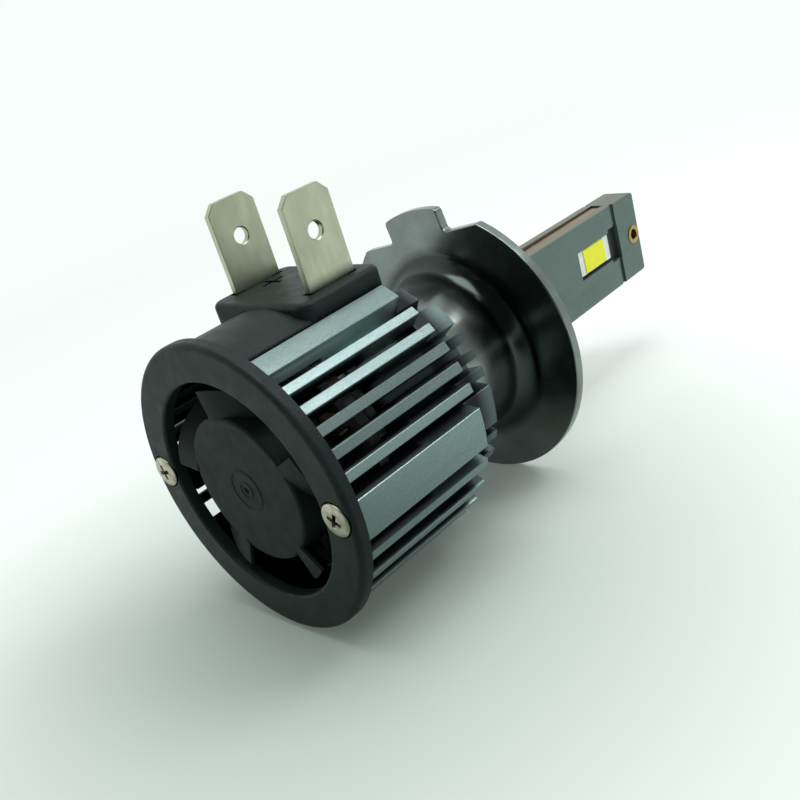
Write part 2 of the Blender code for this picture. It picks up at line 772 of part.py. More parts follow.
def make_inductor(centre, look, axis):
    """The round wound choke of the driver, as its outer can."""
    top = BOARD_REAR - FIT
    inductor = revolve(
        "inductor",
        [
            (top - BOARD_PART_HEIGHT, 0.0),
            (top - BOARD_PART_HEIGHT, INDUCTOR_RADIUS),
            (top, INDUCTOR_RADIUS),
            (top, 0.0),
        ],
        look,
        axis,
        SMALL_STEPS,
    )
    inductor.location.y, inductor.location.z = centre
    return inductor


def blade_points(start):
    """Rows of four corner points along one helical fan blade, from its rear edge to its front edge."""
    rear = HUB_REAR + BLADE_INSET
    root = HUB_RADIUS - BLADE_SINK
    sweep = math.radians(BLADE_SWEEP_ANGLE)
    rows = []
    for i in range(BLADE_STEPS + 1):
        share = i / BLADE_STEPS
        reach = BLADE_LENGTH * share**BLADE_CAMBER
        slope = BLADE_LENGTH * BLADE_CAMBER * share ** (BLADE_CAMBER - 1)
        row = []
        for side, radii in ((1, (root, BLADE_TIP)), (-1, (BLADE_TIP, root))):
            for radius in radii:
                run = Vector((slope, -radius * sweep)).normalized()
                shift_x = -run.y * side * BLADE_THICK / 2
                turn = math.degrees(run.x * side * BLADE_THICK / 2 / radius)
                y, z = polar(radius, start - BLADE_SWEEP_ANGLE * share + turn)
                row.append((rear + reach + shift_x, y, z))
        rows.append(row)
    return rows


def make_impeller(look):
    """The fan's moulded hub and blades."""
    hub = revolve(
        "impeller",
        [(HUB_REAR, 0.0)]
        + quarter((HUB_REAR + HUB_ROUND, HUB_RADIUS - HUB_ROUND), HUB_ROUND, 180, 90)
        + [
            (HUB_FRONT, HUB_RADIUS),
            (HUB_FRONT, HUB_RADIUS - HUB_WALL),
            (HUB_FLOOR, HUB_RADIUS - HUB_WALL),
            (HUB_FLOOR, HUB_BOSS_RADIUS),
            (HUB_BOSS_FRONT, HUB_BOSS_RADIUS),
            (HUB_BOSS_FRONT, SHAFT_RADIUS + FIT),
            (HUB_BOSS_FRONT - SHAFT_SEAT_DEPTH, SHAFT_RADIUS + FIT),
            (HUB_BOSS_FRONT - SHAFT_SEAT_DEPTH, 0.0),
        ],
        look,
    )
    bm = bmesh.new()
    for i in range(BLADES):
        start = BLADE_FIRST_ANGLE + i * 360.0 / BLADES
        rows = [[bm.verts.new(point) for point in row] for row in blade_points(start)]
        for row, following in zip(rows, rows[1:]):
            for j in range(4):
                k = (j + 1) % 4
                bm.faces.new((row[j], row[k], following[k], following[j]))
        bm.faces.new(rows[0])
        bm.faces.new(rows[-1])
    blades = finish("blade_ring", bm, None)
    return combine(hub, "UNION", [blades])


def ring(name, x_range, inner, outer, look, parent=None, steps=ROUND_STEPS):
    """A plain ring or tube about the axis."""
    profile = [(x_range[0], inner), (x_range[0], outer), (x_range[1], outer), (x_range[1], inner)]
    return revolve(name, profile, look, parent, steps)


def make_fan_base(look, axis):
    """The fan's carrier: a ring on the heat sink's shelf, struts, and a disc with the bearing tube."""
    outer = BORE_RADIUS - GAP
    inner = outer - BASE_RING_WIDTH
    base = ring("fan_base", (BASE_REAR, BASE_FRONT), inner, outer, look, axis)
    disc = revolve(
        "base_disc",
        [
            (BASE_FRONT, 0.0),
            (BASE_FRONT, BASE_DISC_RADIUS),
            (BASE_REAR, BASE_DISC_RADIUS),
            (BASE_REAR, TUBE_RADIUS),
            (HUB_BOSS_FRONT + GAP, TUBE_RADIUS),
            (HUB_BOSS_FRONT + GAP, TUBE_BORE),
            (BASE_FRONT - TUBE_FLOOR, TUBE_BORE),
            (BASE_FRONT - TUBE_FLOOR, 0.0),
        ],
        parent=axis,
    )
    struts = []
    for i in range(STRUTS):
        strut = block(
            "base_strut",
            (BASE_REAR, BASE_FRONT),
            (-STRUT_WIDTH / 2, STRUT_WIDTH / 2),
            (BASE_DISC_RADIUS - STRUT_WIDTH / 2, inner + BASE_RING_WIDTH / 2),
            parent=axis,
        )
        strut.rotation_euler.x = -math.radians(STRUT_FIRST_ANGLE + i * 360.0 / STRUTS)
        struts.append(strut)
    return combine(base, "UNION", struts + [disc])


def make_stator_core(look, axis):
    """The laminated stack with its poles."""
    ring_radius = STACK_BORE + STACK_RING
    foot = side_angle(POLE_WIDTH / 2, ring_radius)
    neck = math.degrees(math.atan2(POLE_WIDTH / 2, SHOE_INNER))
    shoe = POLE_SHOE_HALF_ANGLE
    neck_radius = SHOE_INNER / math.cos(math.radians(neck))
    shoe_radius = SHOE_INNER / math.cos(math.radians(shoe))
    points = []
    for i in range(POLES):
        angle = 360.0 / POLES * i
        points += [polar(neck_radius, angle - neck), polar(shoe_radius, angle - shoe)]
        points += arc(STACK_RADIUS, angle - shoe, angle + shoe)
        points += [polar(shoe_radius, angle + shoe), polar(neck_radius, angle + neck)]
        points += arc(ring_radius, angle + foot, angle + 360.0 / POLES - foot)
    stack = extrude("stator_core", points, STACK_REAR, STACK_FRONT, "X", look, axis)
    bore = revolve(
        "stack_bore",
        [
            (STACK_REAR - CUT_OVER, 0.0),
            (STACK_REAR - CUT_OVER, STACK_BORE),
            (STACK_FRONT + CUT_OVER, STACK_BORE),
            (STACK_FRONT + CUT_OVER, 0.0),
        ],
        parent=axis,
        steps=SMALL_STEPS,
    )
    return combine(stack, "DIFFERENCE", [bore])


def make_coil(index, look, axis):
    """The winding round one pole, as its outer form."""
    inner = STACK_BORE + STACK_RING + FIT
    outer = SHOE_INNER - FIT
    half = POLE_WIDTH / 2 + FIT
    coil = block(
        f"coil_{index + 1}",
        (COIL_REAR, COIL_FRONT),
        (-half - COIL_WALL, half + COIL_WALL),
        (inner, outer),
        look,
        axis,
    )
    window = block(
        "coil_window",
        (STACK_REAR - FIT, STACK_FRONT + FIT),
        (-half, half),
        (inner - CUT_OVER, outer + CUT_OVER),
        parent=axis,
    )
    for piece in (coil, window):
        piece.rotation_euler.x = -math.radians(index * 360.0 / POLES)
    return combine(coil, "DIFFERENCE", [window])


def flange_outline():
    """(Y, Z) outline of the flange: a disc with one flat side, a lug on it and rounded corners."""
    flat = math.degrees(math.acos(FLANGE_FLAT / FLANGE_RADIUS))
    bend = flat + math.degrees(2 * FLANGE_CORNER / FLANGE_RADIUS)
    half_lug = LUG_WIDTH / 2
    lug_side = LUG_RADIUS * math.cos(math.asin(half_lug / LUG_RADIUS))
    lug_bend = side_angle(half_lug - 2 * LUG_CORNER, LUG_RADIUS)
    foot = (half_lug, FLANGE_FLAT)
    top = (half_lug, lug_side)
    half = fillet(polar(LUG_RADIUS, lug_bend), top, foot, LUG_CORNER)
    half += fillet(top, foot, polar(FLANGE_RADIUS, flat), LUG_CORNER)
    half += fillet(foot, polar(FLANGE_RADIUS, flat), polar(FLANGE_RADIUS, bend), FLANGE_CORNER)
    mirrored = [(-y, z) for y, z in reversed(half)]
    return half + arc(FLANGE_RADIUS, bend, 360.0 - bend) + mirrored + arc(LUG_RADIUS, -lug_bend, lug_bend)


def make_collar(look):
    """The steel collar: a flat flange with one flat side and a lug, on a flared neck."""
    collar = extrude("collar", flange_outline(), -FLANGE_THICK, 0.0, "X", look)
    soften(collar, FLANGE_EDGE)
    flare_at = (-FLANGE_THICK - NECK_FLARE, NECK_RADIUS + NECK_FLARE)
    neck = revolve(
        "collar_neck",
        [(NECK_REAR, 0.0), (NECK_REAR, NECK_RADIUS)]
        + quarter(flare_at, NECK_FLARE, -90, 0)
        + [(-FLANGE_THICK / 2, NECK_RADIUS + NECK_FLARE), (-FLANGE_THICK / 2, 0.0)],
    )
    bore = revolve(
        "collar_bore",
        [
            (NECK_REAR - CUT_OVER, 0.0),
            (NECK_REAR - CUT_OVER, COLLAR_BORE),
            (CUT_OVER, COLLAR_BORE),
            (CUT_OVER, 0.0),
        ],
    )
    combine(collar, "UNION", [neck])
    combine(collar, "DIFFERENCE", [bore])
    for piece in (collar, neck, bore):
        piece.rotation_euler.x = math.radians(COLLAR_ROLL)
    return collar


def make_carrier(look, axis):
    """The copper board between the side plates, which carries the LEDs and runs back into the sink."""
    half = CARRIER_HEIGHT / 2
    return block(
        "led_carrier",
        (CARRIER_REAR, TIP_BLOCK_REAR - FIT),
        (-CARRIER_THICK / 2, CARRIER_THICK / 2),
        (-half, half),
        look,
        axis,
    )


def stick_outline():
    """(X, Z) outline of the stick: a slight taper to a tip with small round corners."""
    root, tip = STICK_ROOT_HEIGHT / 2, STICK_TIP_HEIGHT / 2
    end = STICK_LENGTH - STICK_CORNER
    return (
        [(PLATE_REAR, root), (PLATE_REAR, -root)]
        + quarter((end, -tip + STICK_CORNER), STICK_CORNER, -90, 0)
        + quarter((end, tip - STICK_CORNER), STICK_CORNER, 0, 90)
    )


def make_side_plate(name, side, look, axis):
    """One aluminium face of the stick, with the window for its LED and a solid tip."""

    def across(inner, outer):
        return sorted((side * inner, side * outer))

    seam = FIT / 2
    plate = extrude(name, stick_outline(), *across(seam, PLATE_OUTER), "Y", look, axis)
    soften(plate, STICK_EDGE)
    tall = (-STICK_ROOT_HEIGHT, STICK_ROOT_HEIGHT)
    room = block(
        "carrier_room",
        (PLATE_REAR - CUT_OVER, TIP_BLOCK_REAR),
        across(-CUT_OVER, PLATE_INNER),
        tall,
        parent=axis,
    )
    window_end = LED_CENTRE_X + LED_LENGTH / 2 + FIT
    window = block(
        "led_window",
        (LED_CENTRE_X - LED_LENGTH / 2 - FIT, window_end),
        across(0.0, PLATE_OUTER + CUT_OVER),
        (LED_CENTRE_Z - LED_HEIGHT / 2 - LED_ROOM_BELOW, LED_CENTRE_Z + LED_HEIGHT / 2 + FIT),
        parent=axis,
    )
    groove = block(
        "tip_groove",
        (GROOVE_CENTRE_X - GROOVE_WIDTH / 2, GROOVE_CENTRE_X + GROOVE_WIDTH / 2),
        across(PLATE_OUTER - GROOVE_DEPTH, PLATE_OUTER + CUT_OVER),
        tall,
        parent=axis,
    )
    notch = block(
        "tip_notch",
        (window_end - FIT / 2, NOTCH_END_X),
        across(PLATE_OUTER - NOTCH_DEPTH, PLATE_OUTER + CUT_OVER),
        (NOTCH_CENTRE_Z - NOTCH_HEIGHT / 2, NOTCH_CENTRE_Z + NOTCH_HEIGHT / 2),
        parent=axis,
    )
    rivet_at = (STICK_LENGTH - RIVET_FROM_TIP, 0.0)
    hole = extrude(
        "rivet_hole",
        quarter(rivet_at, RIVET_SHANK_RADIUS + FIT, 0, 360, SMALL_STEPS)[:-1],
        *across(-CUT_OVER, PLATE_OUTER + CUT_OVER),
        "Y",
        parent=axis,
    )
    return combine(plate, "DIFFERENCE", [room, window, groove, notch, hole])


def make_led(name, side, size, layer, look, axis):
    """A flat LED layer on one face of the carrier, between two distances from the stick's middle."""
    length, height = size
    return block(
        name,
        (LED_CENTRE_X - length / 2, LED_CENTRE_X + length / 2),
        sorted((side * layer[0], side * layer[1])),
        (LED_CENTRE_Z - height / 2, LED_CENTRE_Z + height / 2),
        look,
        axis,
    )


def make_tip_rivet(look, axis):
    """The hollow rivet through the tip of the stick."""
    face = PLATE_OUTER + FIT
    head = face + RIVET_HEAD_THICK
    rivet = revolve(
        "tip_rivet",
        [
            (-head, RIVET_BORE),
            (-head, RIVET_HEAD_RADIUS),
            (-face, RIVET_HEAD_RADIUS),
            (-face, RIVET_SHANK_RADIUS),
            (face, RIVET_SHANK_RADIUS),
            (face, RIVET_HEAD_RADIUS),
            (head, RIVET_HEAD_RADIUS),
            (head, RIVET_BORE),
        ],
        look,
        steps=SMALL_STEPS,
    )
    rivet.data.transform(Matrix.Rotation(math.pi / 2, 4, "Z"))
    rivet.parent = axis
    rivet.location.x = STICK_LENGTH - RIVET_FROM_TIP
    return rivet


def make_fan_rotor(looks):
    """The pieces that turn together on the fan's shaft."""
    rotor = axis_empty("rotor_axis")
    make_impeller(looks["fan"]).parent = rotor
    rear, front = HUB_FLOOR + FIT, HUB_FRONT - FIT
    yoke_inner = YOKE_RADIUS - YOKE_WALL
    ring("rotor_yoke", (rear, front), yoke_inner, YOKE_RADIUS, looks["yoke"], rotor, HIDDEN_STEPS)
    magnet_inner = MAGNET_RADIUS - MAGNET_WALL
    ring("magnet_ring", (rear, front), magnet_inner, MAGNET_RADIUS, looks["magnet"], rotor, HIDDEN_STEPS)
    shaft_rear = HUB_BOSS_FRONT - SHAFT_SEAT_DEPTH + FIT
    shaft = [(shaft_rear, 0.0), (shaft_rear, SHAFT_RADIUS), (SHAFT_FRONT, SHAFT_RADIUS), (SHAFT_FRONT, 0.0)]
    revolve("fan_shaft", shaft, looks["shaft"], rotor, SMALL_STEPS)
    clip = (CLIP_REAR - CLIP_THICK, CLIP_REAR)
    ring("shaft_clip", clip, SHAFT_RADIUS + FIT, CLIP_RADIUS, looks["clip"], rotor, SMALL_STEPS)


def make_fan_stator(looks, axis):
    """The still pieces of the fan's motor."""
    make_fan_base(looks["base"], axis)
    sleeve = (HUB_BOSS_FRONT + GAP, CLIP_REAR - CLIP_THICK - FIT)
    inner = SHAFT_RADIUS + FIT
    ring("fan_bearing", sleeve, inner, inner + SLEEVE_WALL, looks["bearing"], axis, SMALL_STEPS)
    layer = (MOTOR_BOARD_REAR, MOTOR_BOARD_FRONT)
    ring("motor_board", layer, STACK_BORE, STACK_RADIUS, looks["board"], axis, HIDDEN_STEPS)
    make_stator_core(looks["stack"], axis)
    for i in range(POLES):
        make_coil(i, looks["coil"], axis)


def make_driver(looks, axis):
    """The driver board, the parts on it and the short leads to the fan and to the LEDs."""
    make_driver_board(looks["board"], axis)
    make_inductor(INDUCTOR_AT, looks["inductor"], axis)
    chip = (CHIP_SIDE, CHIP_SIDE)
    board_part("controller_chip", CHIP_AT, chip, CHIP_HEIGHT, looks["chip"], axis)
    for name, at in (("input_capacitor", INPUT_CAPACITOR_AT), ("output_capacitor", OUTPUT_CAPACITOR_AT)):
        board_part(name, at, CAPACITOR_SIZE, BOARD_PART_HEIGHT, looks["capacitor"], axis)
    board_part("rectifier_diode", DIODE_AT, DIODE_SIZE, DIODE_HEIGHT, looks["chip"], axis)
    for sign, name in ((-1, "fan_lead_1"), (1, "fan_lead_2")):
        y = sign * FAN_LEAD_SPREAD
        ends = [(BASE_FRONT + FIT, y, FAN_LEAD_CIRCLE), (BOARD_REAR - FIT, y, FAN_LEAD_CIRCLE)]
        tube(name, ends, FAN_LEAD_RADIUS, looks["lead"], axis)
    for sign, name in ((-1, "led_lead_near"), (1, "led_lead_far")):
        y = sign * (CARRIER_THICK / 2 + FIT + LED_LEAD_RADIUS)
        ends = [(BOARD_FRONT + FIT, y, 0.0), (CORE_REAR + POCKET_DEPTH - GAP, y, 0.0)]
        tube(name, ends, LED_LEAD_RADIUS, looks["lead"], axis)


def make_stick(looks, axis):
    """The LED stick: copper carrier, two side plates, an LED on each face and the tip rivet."""
    make_carrier(looks["copper"], axis)
    body = (PLATE_INNER, PLATE_INNER + LED_BODY_THICK)
    glow = (body[1] + FIT, body[1] + FIT + PHOSPHOR_THICK)
    for side, word in ((-1, "near"), (1, "far")):
        make_side_plate(f"side_plate_{word}", side, looks["plate"], axis)
        package = (LED_LENGTH, LED_HEIGHT)
        make_led(f"led_{word}", side, package, body, looks["ceramic"], axis)
        lit = (PHOSPHOR_LENGTH, PHOSPHOR_HEIGHT)
        make_led(f"phosphor_{word}", side, lit, glow, looks["phosphor"], axis)
    make_tip_rivet(looks["brass"], axis)


def make_looks():
    """The material of each kind of piece."""
    return {
        "sink": material("anodised_aluminium", (0.13, 0.16, 0.18), 0.38, 0.9),
        "cover": material("black_moulding", (0.018, 0.018, 0.02), 0.55),
        "fan": material("fan_moulding", (0.014, 0.014, 0.016), 0.6),
        "base": material("base_moulding", (0.016, 0.016, 0.018), 0.6),
        "screw": material("nickel_screw", (0.62, 0.59, 0.53), 0.3, 1.0),
        "tab": material("tinned_brass", (0.5, 0.48, 0.42), 0.38, 1.0),
        "steel": material("polished_steel", (0.32, 0.31, 0.3), 0.12, 1.0),
        "plate": material("grey_anodised_plate", (0.14, 0.18, 0.17), 0.45, 0.7),
        "copper": material("copper_core", (0.55, 0.27, 0.15), 0.35, 1.0),
        "ceramic": material("white_ceramic", (0.85, 0.86, 0.84), 0.5),
        "phosphor": material("yellow_phosphor", (0.86, 0.84, 0.02), 0.5),
        "brass": material("brass_rivet", (0.6, 0.4, 0.12), 0.35, 1.0),
        "board": material("board_laminate", (0.02, 0.07, 0.04), 0.5),
        "chip": material("chip_moulding", (0.02, 0.02, 0.02), 0.5),
        "capacitor": material("capacitor_ceramic", (0.4, 0.28, 0.16), 0.45),
        "inductor": material("ferrite_can", (0.06, 0.06, 0.065), 0.6),
        "lead": material("lead_insulation", (0.05, 0.05, 0.05), 0.5),
        "supply": material("supply_insulation", (0.35, 0.02, 0.02), 0.45),
        "yoke": material("yoke_steel", (0.4, 0.4, 0.4), 0.35, 1.0),
        "magnet": material("bonded_magnet", (0.05, 0.045, 0.04), 0.6),
        "shaft": material("shaft_steel", (0.6, 0.6, 0.6), 0.2, 1.0),
        "clip": material("clip_plastic", (0.7, 0.7, 0.66), 0.5),
        "bearing": material("sintered_bronze", (0.45, 0.32, 0.16), 0.45, 1.0),
        "stack": material("stack_steel", (0.3, 0.3, 0.31), 0.45, 1.0),
        "coil": material("enamelled_copper", (0.45, 0.18, 0.07), 0.4, 1.0),
    }


def main():
    """Builds every piece of the bulb."""
    clear_scene()
    looks = make_looks()
    sink_axis = axis_empty("sink_axis", SINK_ROLL)
    make_heat_sink(looks["sink"], sink_axis)
    make_fan_cover(looks["cover"], sink_axis)
    make_cover_screw("cover_screw_near", -1, looks["screw"], sink_axis)
    make_cover_screw("cover_screw_far", 1, looks["screw"], sink_axis)
    make_terminal("terminal_near", TAB_NEAR_Y, looks["tab"])
    make_terminal("terminal_far", TAB_FAR_Y, looks["tab"])
    make_supply_lead("supply_lead_near", TAB_NEAR_Y, TAB_NEAR_Y, looks["supply"])
    make_supply_lead("supply_lead_far", TAB_FAR_Y, TAB_FAR_Y - SUPPLY_LEAD_FAR_SHIFT, looks["supply"])
    make_collar(looks["steel"])
    make_driver(looks, sink_axis)
    make_stick(looks, sink_axis)
    make_fan_stator(looks, sink_axis)
    make_fan_rotor(looks)


main()
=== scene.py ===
"""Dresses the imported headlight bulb: smooth metal and moulded pieces, finishes, light and camera.

The pieces keep their sizes in millimetres and their angles in degrees, and the finishes keep their
places in metres. The bulb's axis is X, with the LED stick along +X and the fan at the -X end. The
side called near faces -Y. Angles about the axis start at +Z and grow towards +Y. Pieces are
modelled with one unit to a millimetre and brought to metres when they are settled.
"""

import logging  # noqa: E402
import math  # noqa: E402
from dataclasses import dataclass  # noqa: E402
from enum import Enum  # noqa: E402
from functools import reduce  # noqa: E402
from typing import Callable, Sequence  # noqa: E402

import bmesh  # noqa: E402
import bpy  # noqa: E402
from mathutils import Matrix, Vector  # noqa: E402


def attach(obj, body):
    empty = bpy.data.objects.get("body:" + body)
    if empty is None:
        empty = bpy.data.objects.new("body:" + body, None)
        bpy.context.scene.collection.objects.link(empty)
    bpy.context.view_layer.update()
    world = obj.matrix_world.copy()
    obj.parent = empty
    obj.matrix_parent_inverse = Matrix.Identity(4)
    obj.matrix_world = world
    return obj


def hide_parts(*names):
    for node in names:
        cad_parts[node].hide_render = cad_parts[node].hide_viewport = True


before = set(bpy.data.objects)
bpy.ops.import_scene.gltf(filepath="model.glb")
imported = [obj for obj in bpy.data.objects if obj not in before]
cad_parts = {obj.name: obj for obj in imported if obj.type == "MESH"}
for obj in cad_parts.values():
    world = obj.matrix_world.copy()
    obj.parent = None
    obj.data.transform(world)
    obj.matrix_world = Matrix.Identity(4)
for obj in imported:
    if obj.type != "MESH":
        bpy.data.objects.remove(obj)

Point = tuple[float, float, float]
Flat = tuple[float, float]
Colour = tuple[float, float, float]
Piece = bpy.types.Object
Tree = bpy.types.NodeTree
Socket = bpy.types.NodeSocket
Sockets = bpy.types.bpy_prop_collection
Limit = tuple[Socket, Flat]

LOG = logging.getLogger("headlight_bulb")
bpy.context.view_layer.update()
MM = 0.001
SINK_ROLL = 1.8
COLLAR_ROLL = -7.8
FINE_STEPS = 144
SMALL_STEPS = 48
MERGE_WITHIN = 0.0005
CUT_PAST = 1.0  # how far a cutter reaches past what it cuts
CRISP = 25.0  # smoothing angle of the hub and the stamped pieces


class Body(Enum):
    """The bodies of the frame that pieces ride on."""

    STILL = "root"
    FAN = "fan_rotor"


class Side(Enum):
    """The two sides of the bulb, with the sign of their Y."""

    NEAR = -1
    FAR = 1

    @property
    def word(self) -> str:
        """The side's name as the frame's nodes spell it."""
        return self.name.lower()


class Direction(Enum):
    """The axes, each with the order of the coordinates of an outline extruded along it."""

    X = (2, 0, 1)
    Y = (0, 2, 1)
    Z = (0, 1, 2)

    def point(self, first: float, second: float, along: float) -> Point:
        """Places an outline's two coordinates and a distance along the axis in space."""
        flat = (first, second, along)
        return tuple(flat[i] for i in self.value)


class Shaper(Enum):
    """The modifiers that finish pieces."""

    CUT = "BOOLEAN"
    ROUND = "BEVEL"
    EVEN = "WEIGHTED_NORMAL"
    THICKEN = "SOLIDIFY"


class Sum(Enum):
    """The ways to bring two node values together."""

    TOTAL = "ADD"
    PRODUCT = "MULTIPLY"
    GREATER = "MAXIMUM"


def polar(radius: float, degrees: float) -> Flat:
    """The (Y, Z) point at this radius and angle about the axis."""
    angle = math.radians(degrees)
    return radius * math.sin(angle), radius * math.cos(angle)


def arc(radius: float, start: float, stop: float, steps: int) -> list[Flat]:
    """(Y, Z) points of an arc about the axis, both ends included."""
    return [polar(radius, start + (stop - start) * i / steps) for i in range(steps + 1)]


def quarter(centre: Flat, radius: float, start: float, stop: float, steps: int = 8) -> list[Flat]:
    """Points of a round edge or corner.

    Args:
        centre: its centre in its plane
        radius: its radius
        start: first angle, from the plane's first axis towards the second
        stop: last angle
        steps: how many edges it has

    Returns:
        the points, both ends included
    """
    turns = [math.radians(start + (stop - start) * i / steps) for i in range(steps + 1)]
    return [(centre[0] + radius * math.cos(a), centre[1] + radius * math.sin(a)) for a in turns]


def fillet(before: Flat, corner: Flat, after: Flat, radius: float) -> list[Flat]:
    """Points of the tangent arc that rounds a corner of an outline.

    Args:
        before: a point on the edge that leads to the corner
        corner: the sharp corner
        after: a point on the edge that leaves it
        radius: the arc's radius

    Returns:
        the arc's points, from the first edge to the second
    """
    to_before = (Vector(before) - Vector(corner)).normalized()
    to_after = (Vector(after) - Vector(corner)).normalized()
    half = to_before.angle(to_after) / 2
    centre = Vector(corner) + (to_before + to_after).normalized() * radius / math.sin(half)
    start = Vector(corner) + to_before * radius / math.tan(half) - centre
    stop = Vector(corner) + to_after * radius / math.tan(half) - centre
    first = math.degrees(math.atan2(start.y, start.x))
    turn_by = math.degrees(math.atan2(start.cross(stop), start.dot(stop)))
    return quarter(tuple(centre), radius, first, first + turn_by)


def rounded_rectangle(first: Flat, second: Flat, corner: float, steps: int = 10) -> list[Flat]:
    """Outline of a rectangle with round corners.

    Args:
        first: its limits along the plane's first axis
        second: its limits along the second
        corner: the corners' radius
        steps: how many edges a corner has

    Returns:
        the outline's points
    """
    left, right = first[0] + corner, first[1] - corner
    low, high = second[0] + corner, second[1] - corner
    outline = []
    for i, centre in enumerate(((right, low), (right, high), (left, high), (left, low))):
        outline += quarter(centre, corner, 90 * i - 90, 90 * i, steps)
    return outline


def wake(piece: Piece) -> None:
    """Makes one object the only selected one, and the active one.

    Args:
        piece: the object
    """
    bpy.ops.object.select_all(action="DESELECT")
    piece.select_set(True)
    bpy.context.view_layer.objects.active = piece


def edit(piece: Piece) -> None:
    """Opens one object in edit mode."""
    wake(piece)
    bpy.ops.object.mode_set(mode="EDIT")


def draw_chain(name: str, points: Sequence[Point]) -> Piece:
    """Draws a chain of edges by extruding one vertex from point to point.

    Args:
        name: the object's name
        points: the chain's points in order

    Returns:
        the object, left in edit mode with the whole chain selected
    """
    bpy.ops.object.select_all(action="DESELECT")
    bpy.ops.mesh.primitive_plane_add(size=1.0)
    piece = bpy.context.active_object
    piece.name = name
    bpy.ops.object.mode_set(mode="EDIT")
    bpy.ops.mesh.merge(type="CENTER")
    bpy.ops.transform.translate(value=points[0])
    for before, after in zip(points, points[1:]):
        step = Vector(after) - Vector(before)
        bpy.ops.mesh.extrude_region_move(TRANSFORM_OT_translate={"value": step})
    bpy.ops.mesh.select_all(action="SELECT")
    return piece


def pick(piece: Piece, test: Callable[[Vector], bool]) -> None:
    """Selects vertices by their place.

    Args:
        piece: the object, in edit mode
        test: says whether a place is picked
    """
    mesh = bmesh.from_edit_mesh(piece.data)
    for vert in mesh.verts:
        vert.select = test(vert.co)
    mesh.select_flush(True)
    mesh.select_flush(False)
    bmesh.update_edit_mesh(piece.data)


def close_mesh() -> None:
    """Merges doubles, turns the faces outwards and leaves edit mode."""
    bpy.ops.mesh.select_all(action="SELECT")
    bpy.ops.mesh.remove_doubles(threshold=MERGE_WITHIN)
    bpy.ops.mesh.normals_make_consistent(inside=False)
    bpy.ops.object.mode_set(mode="OBJECT")


def turn(name: str, profile: Sequence[Flat], steps: int = FINE_STEPS) -> Piece:
    """Turns a solid about X.

    Args:
        name: the object's name
        profile: (X, radius) points; one that doesn't begin and end on the axis is closed to a ring
        steps: how many sides the solid has

    Returns:
        the turned object
    """
    piece = draw_chain(name, [(x, 0.0, radius) for x, radius in profile])
    if profile[0][1] or profile[-1][1]:
        ends = [Vector((x, 0.0, radius)) for x, radius in (profile[0], profile[-1])]
        pick(piece, lambda at: min((at - end).length for end in ends) < MERGE_WITHIN)
        bpy.ops.mesh.edge_face_add()
        bpy.ops.mesh.select_all(action="SELECT")
    about = {"center": (0.0, 0.0, 0.0), "axis": (1.0, 0.0, 0.0)}
    bpy.ops.mesh.spin(steps=steps, angle=2 * math.pi, **about)
    close_mesh()
    return piece


def rod(name: str, radius: float, start: float, stop: float, steps: int = FINE_STEPS) -> Piece:
    """A plain round cutter about X between two ends."""
    return turn(name, [(start, 0.0), (start, radius), (stop, radius), (stop, 0.0)], steps)


def press(
    name: str, outline: Sequence[Flat], start: float, stop: float, along: Direction, slices: int = 1
) -> Piece:
    """Extrudes an outline to a prism.

    Args:
        name: the object's name
        outline: the points in the plane across the axis
        start: where the prism begins along the axis
        stop: where it ends
        along: the axis
        slices: how many equal steps the extrusion takes

    Returns:
        the prism
    """
    piece = draw_chain(name, [along.point(a, b, start) for a, b in outline])
    bpy.ops.mesh.edge_face_add()
    step = along.point(0.0, 0.0, (stop - start) / slices)
    for _ in range(slices):
        bpy.ops.mesh.extrude_region_move(TRANSFORM_OT_translate={"value": step})
    close_mesh()
    return piece


def box(name: str, low: Point, high: Point) -> Piece:
    """A rectangular blank or cutter.

    Args:
        name: the object's name
        low: one corner
        high: the opposite corner

    Returns:
        the box
    """
    bpy.ops.object.select_all(action="DESELECT")
    middle = [(a + b) / 2 for a, b in zip(low, high)]
    size = [abs(b - a) for a, b in zip(low, high)]
    bpy.ops.mesh.primitive_cube_add(size=1.0, location=middle, scale=size)
    piece = bpy.context.active_object
    piece.name = name
    bpy.ops.object.transform_apply(location=True, rotation=True, scale=True)
    return piece


def shape(piece: Piece, shaper: Shaper, **settings: object) -> Piece:
    """Adds a modifier to a piece and applies it.

    Args:
        piece: the piece
        shaper: the modifier
        settings: the modifier's own settings

    Returns:
        the same piece
    """
    wake(piece)
    bpy.ops.object.modifier_add(type=shaper.value)
    modifier = piece.modifiers[-1]
    for label, value in settings.items():
        setattr(modifier, label, value)
    bpy.ops.object.modifier_apply(modifier=modifier.name)
    return piece


def cut_away(piece: Piece, tools: Sequence[Piece]) -> Piece:
    """Cuts tools out of a piece, one after the other, and removes them.

    Args:
        piece: the piece
        tools: the cutters

    Returns:
        the same piece
    """
    for tool in tools:
        shape(piece, Shaper.CUT, operation="DIFFERENCE", solver="EXACT", object=tool)
        bpy.data.objects.remove(tool)
    return piece


def soften(piece: Piece, width: float, segments: int = 1, sharper: float = 40.0) -> Piece:
    """Bevels the edges that are sharper than an angle."""
    limit = {"limit_method": "ANGLE", "angle_limit": math.radians(sharper)}
    return shape(piece, Shaper.ROUND, width=width, segments=segments, **limit)


def smooth(piece: Piece, angle: float = 32.0) -> Piece:
    """Shades the round faces smooth and keeps the flat ones flat.

    Args:
        piece: the piece
        angle: edges sharper than this stay sharp

    Returns:
        the same piece
    """
    wake(piece)
    bpy.ops.object.shade_smooth_by_angle(angle=math.radians(angle))
    return shape(piece, Shaper.EVEN, keep_sharp=True)


def own_copy(piece: Piece) -> Piece:
    """A copy of a piece with its own mesh.

    Args:
        piece: the pattern

    Returns:
        the copy
    """
    wake(piece)
    bpy.ops.object.duplicate()
    return bpy.context.active_object


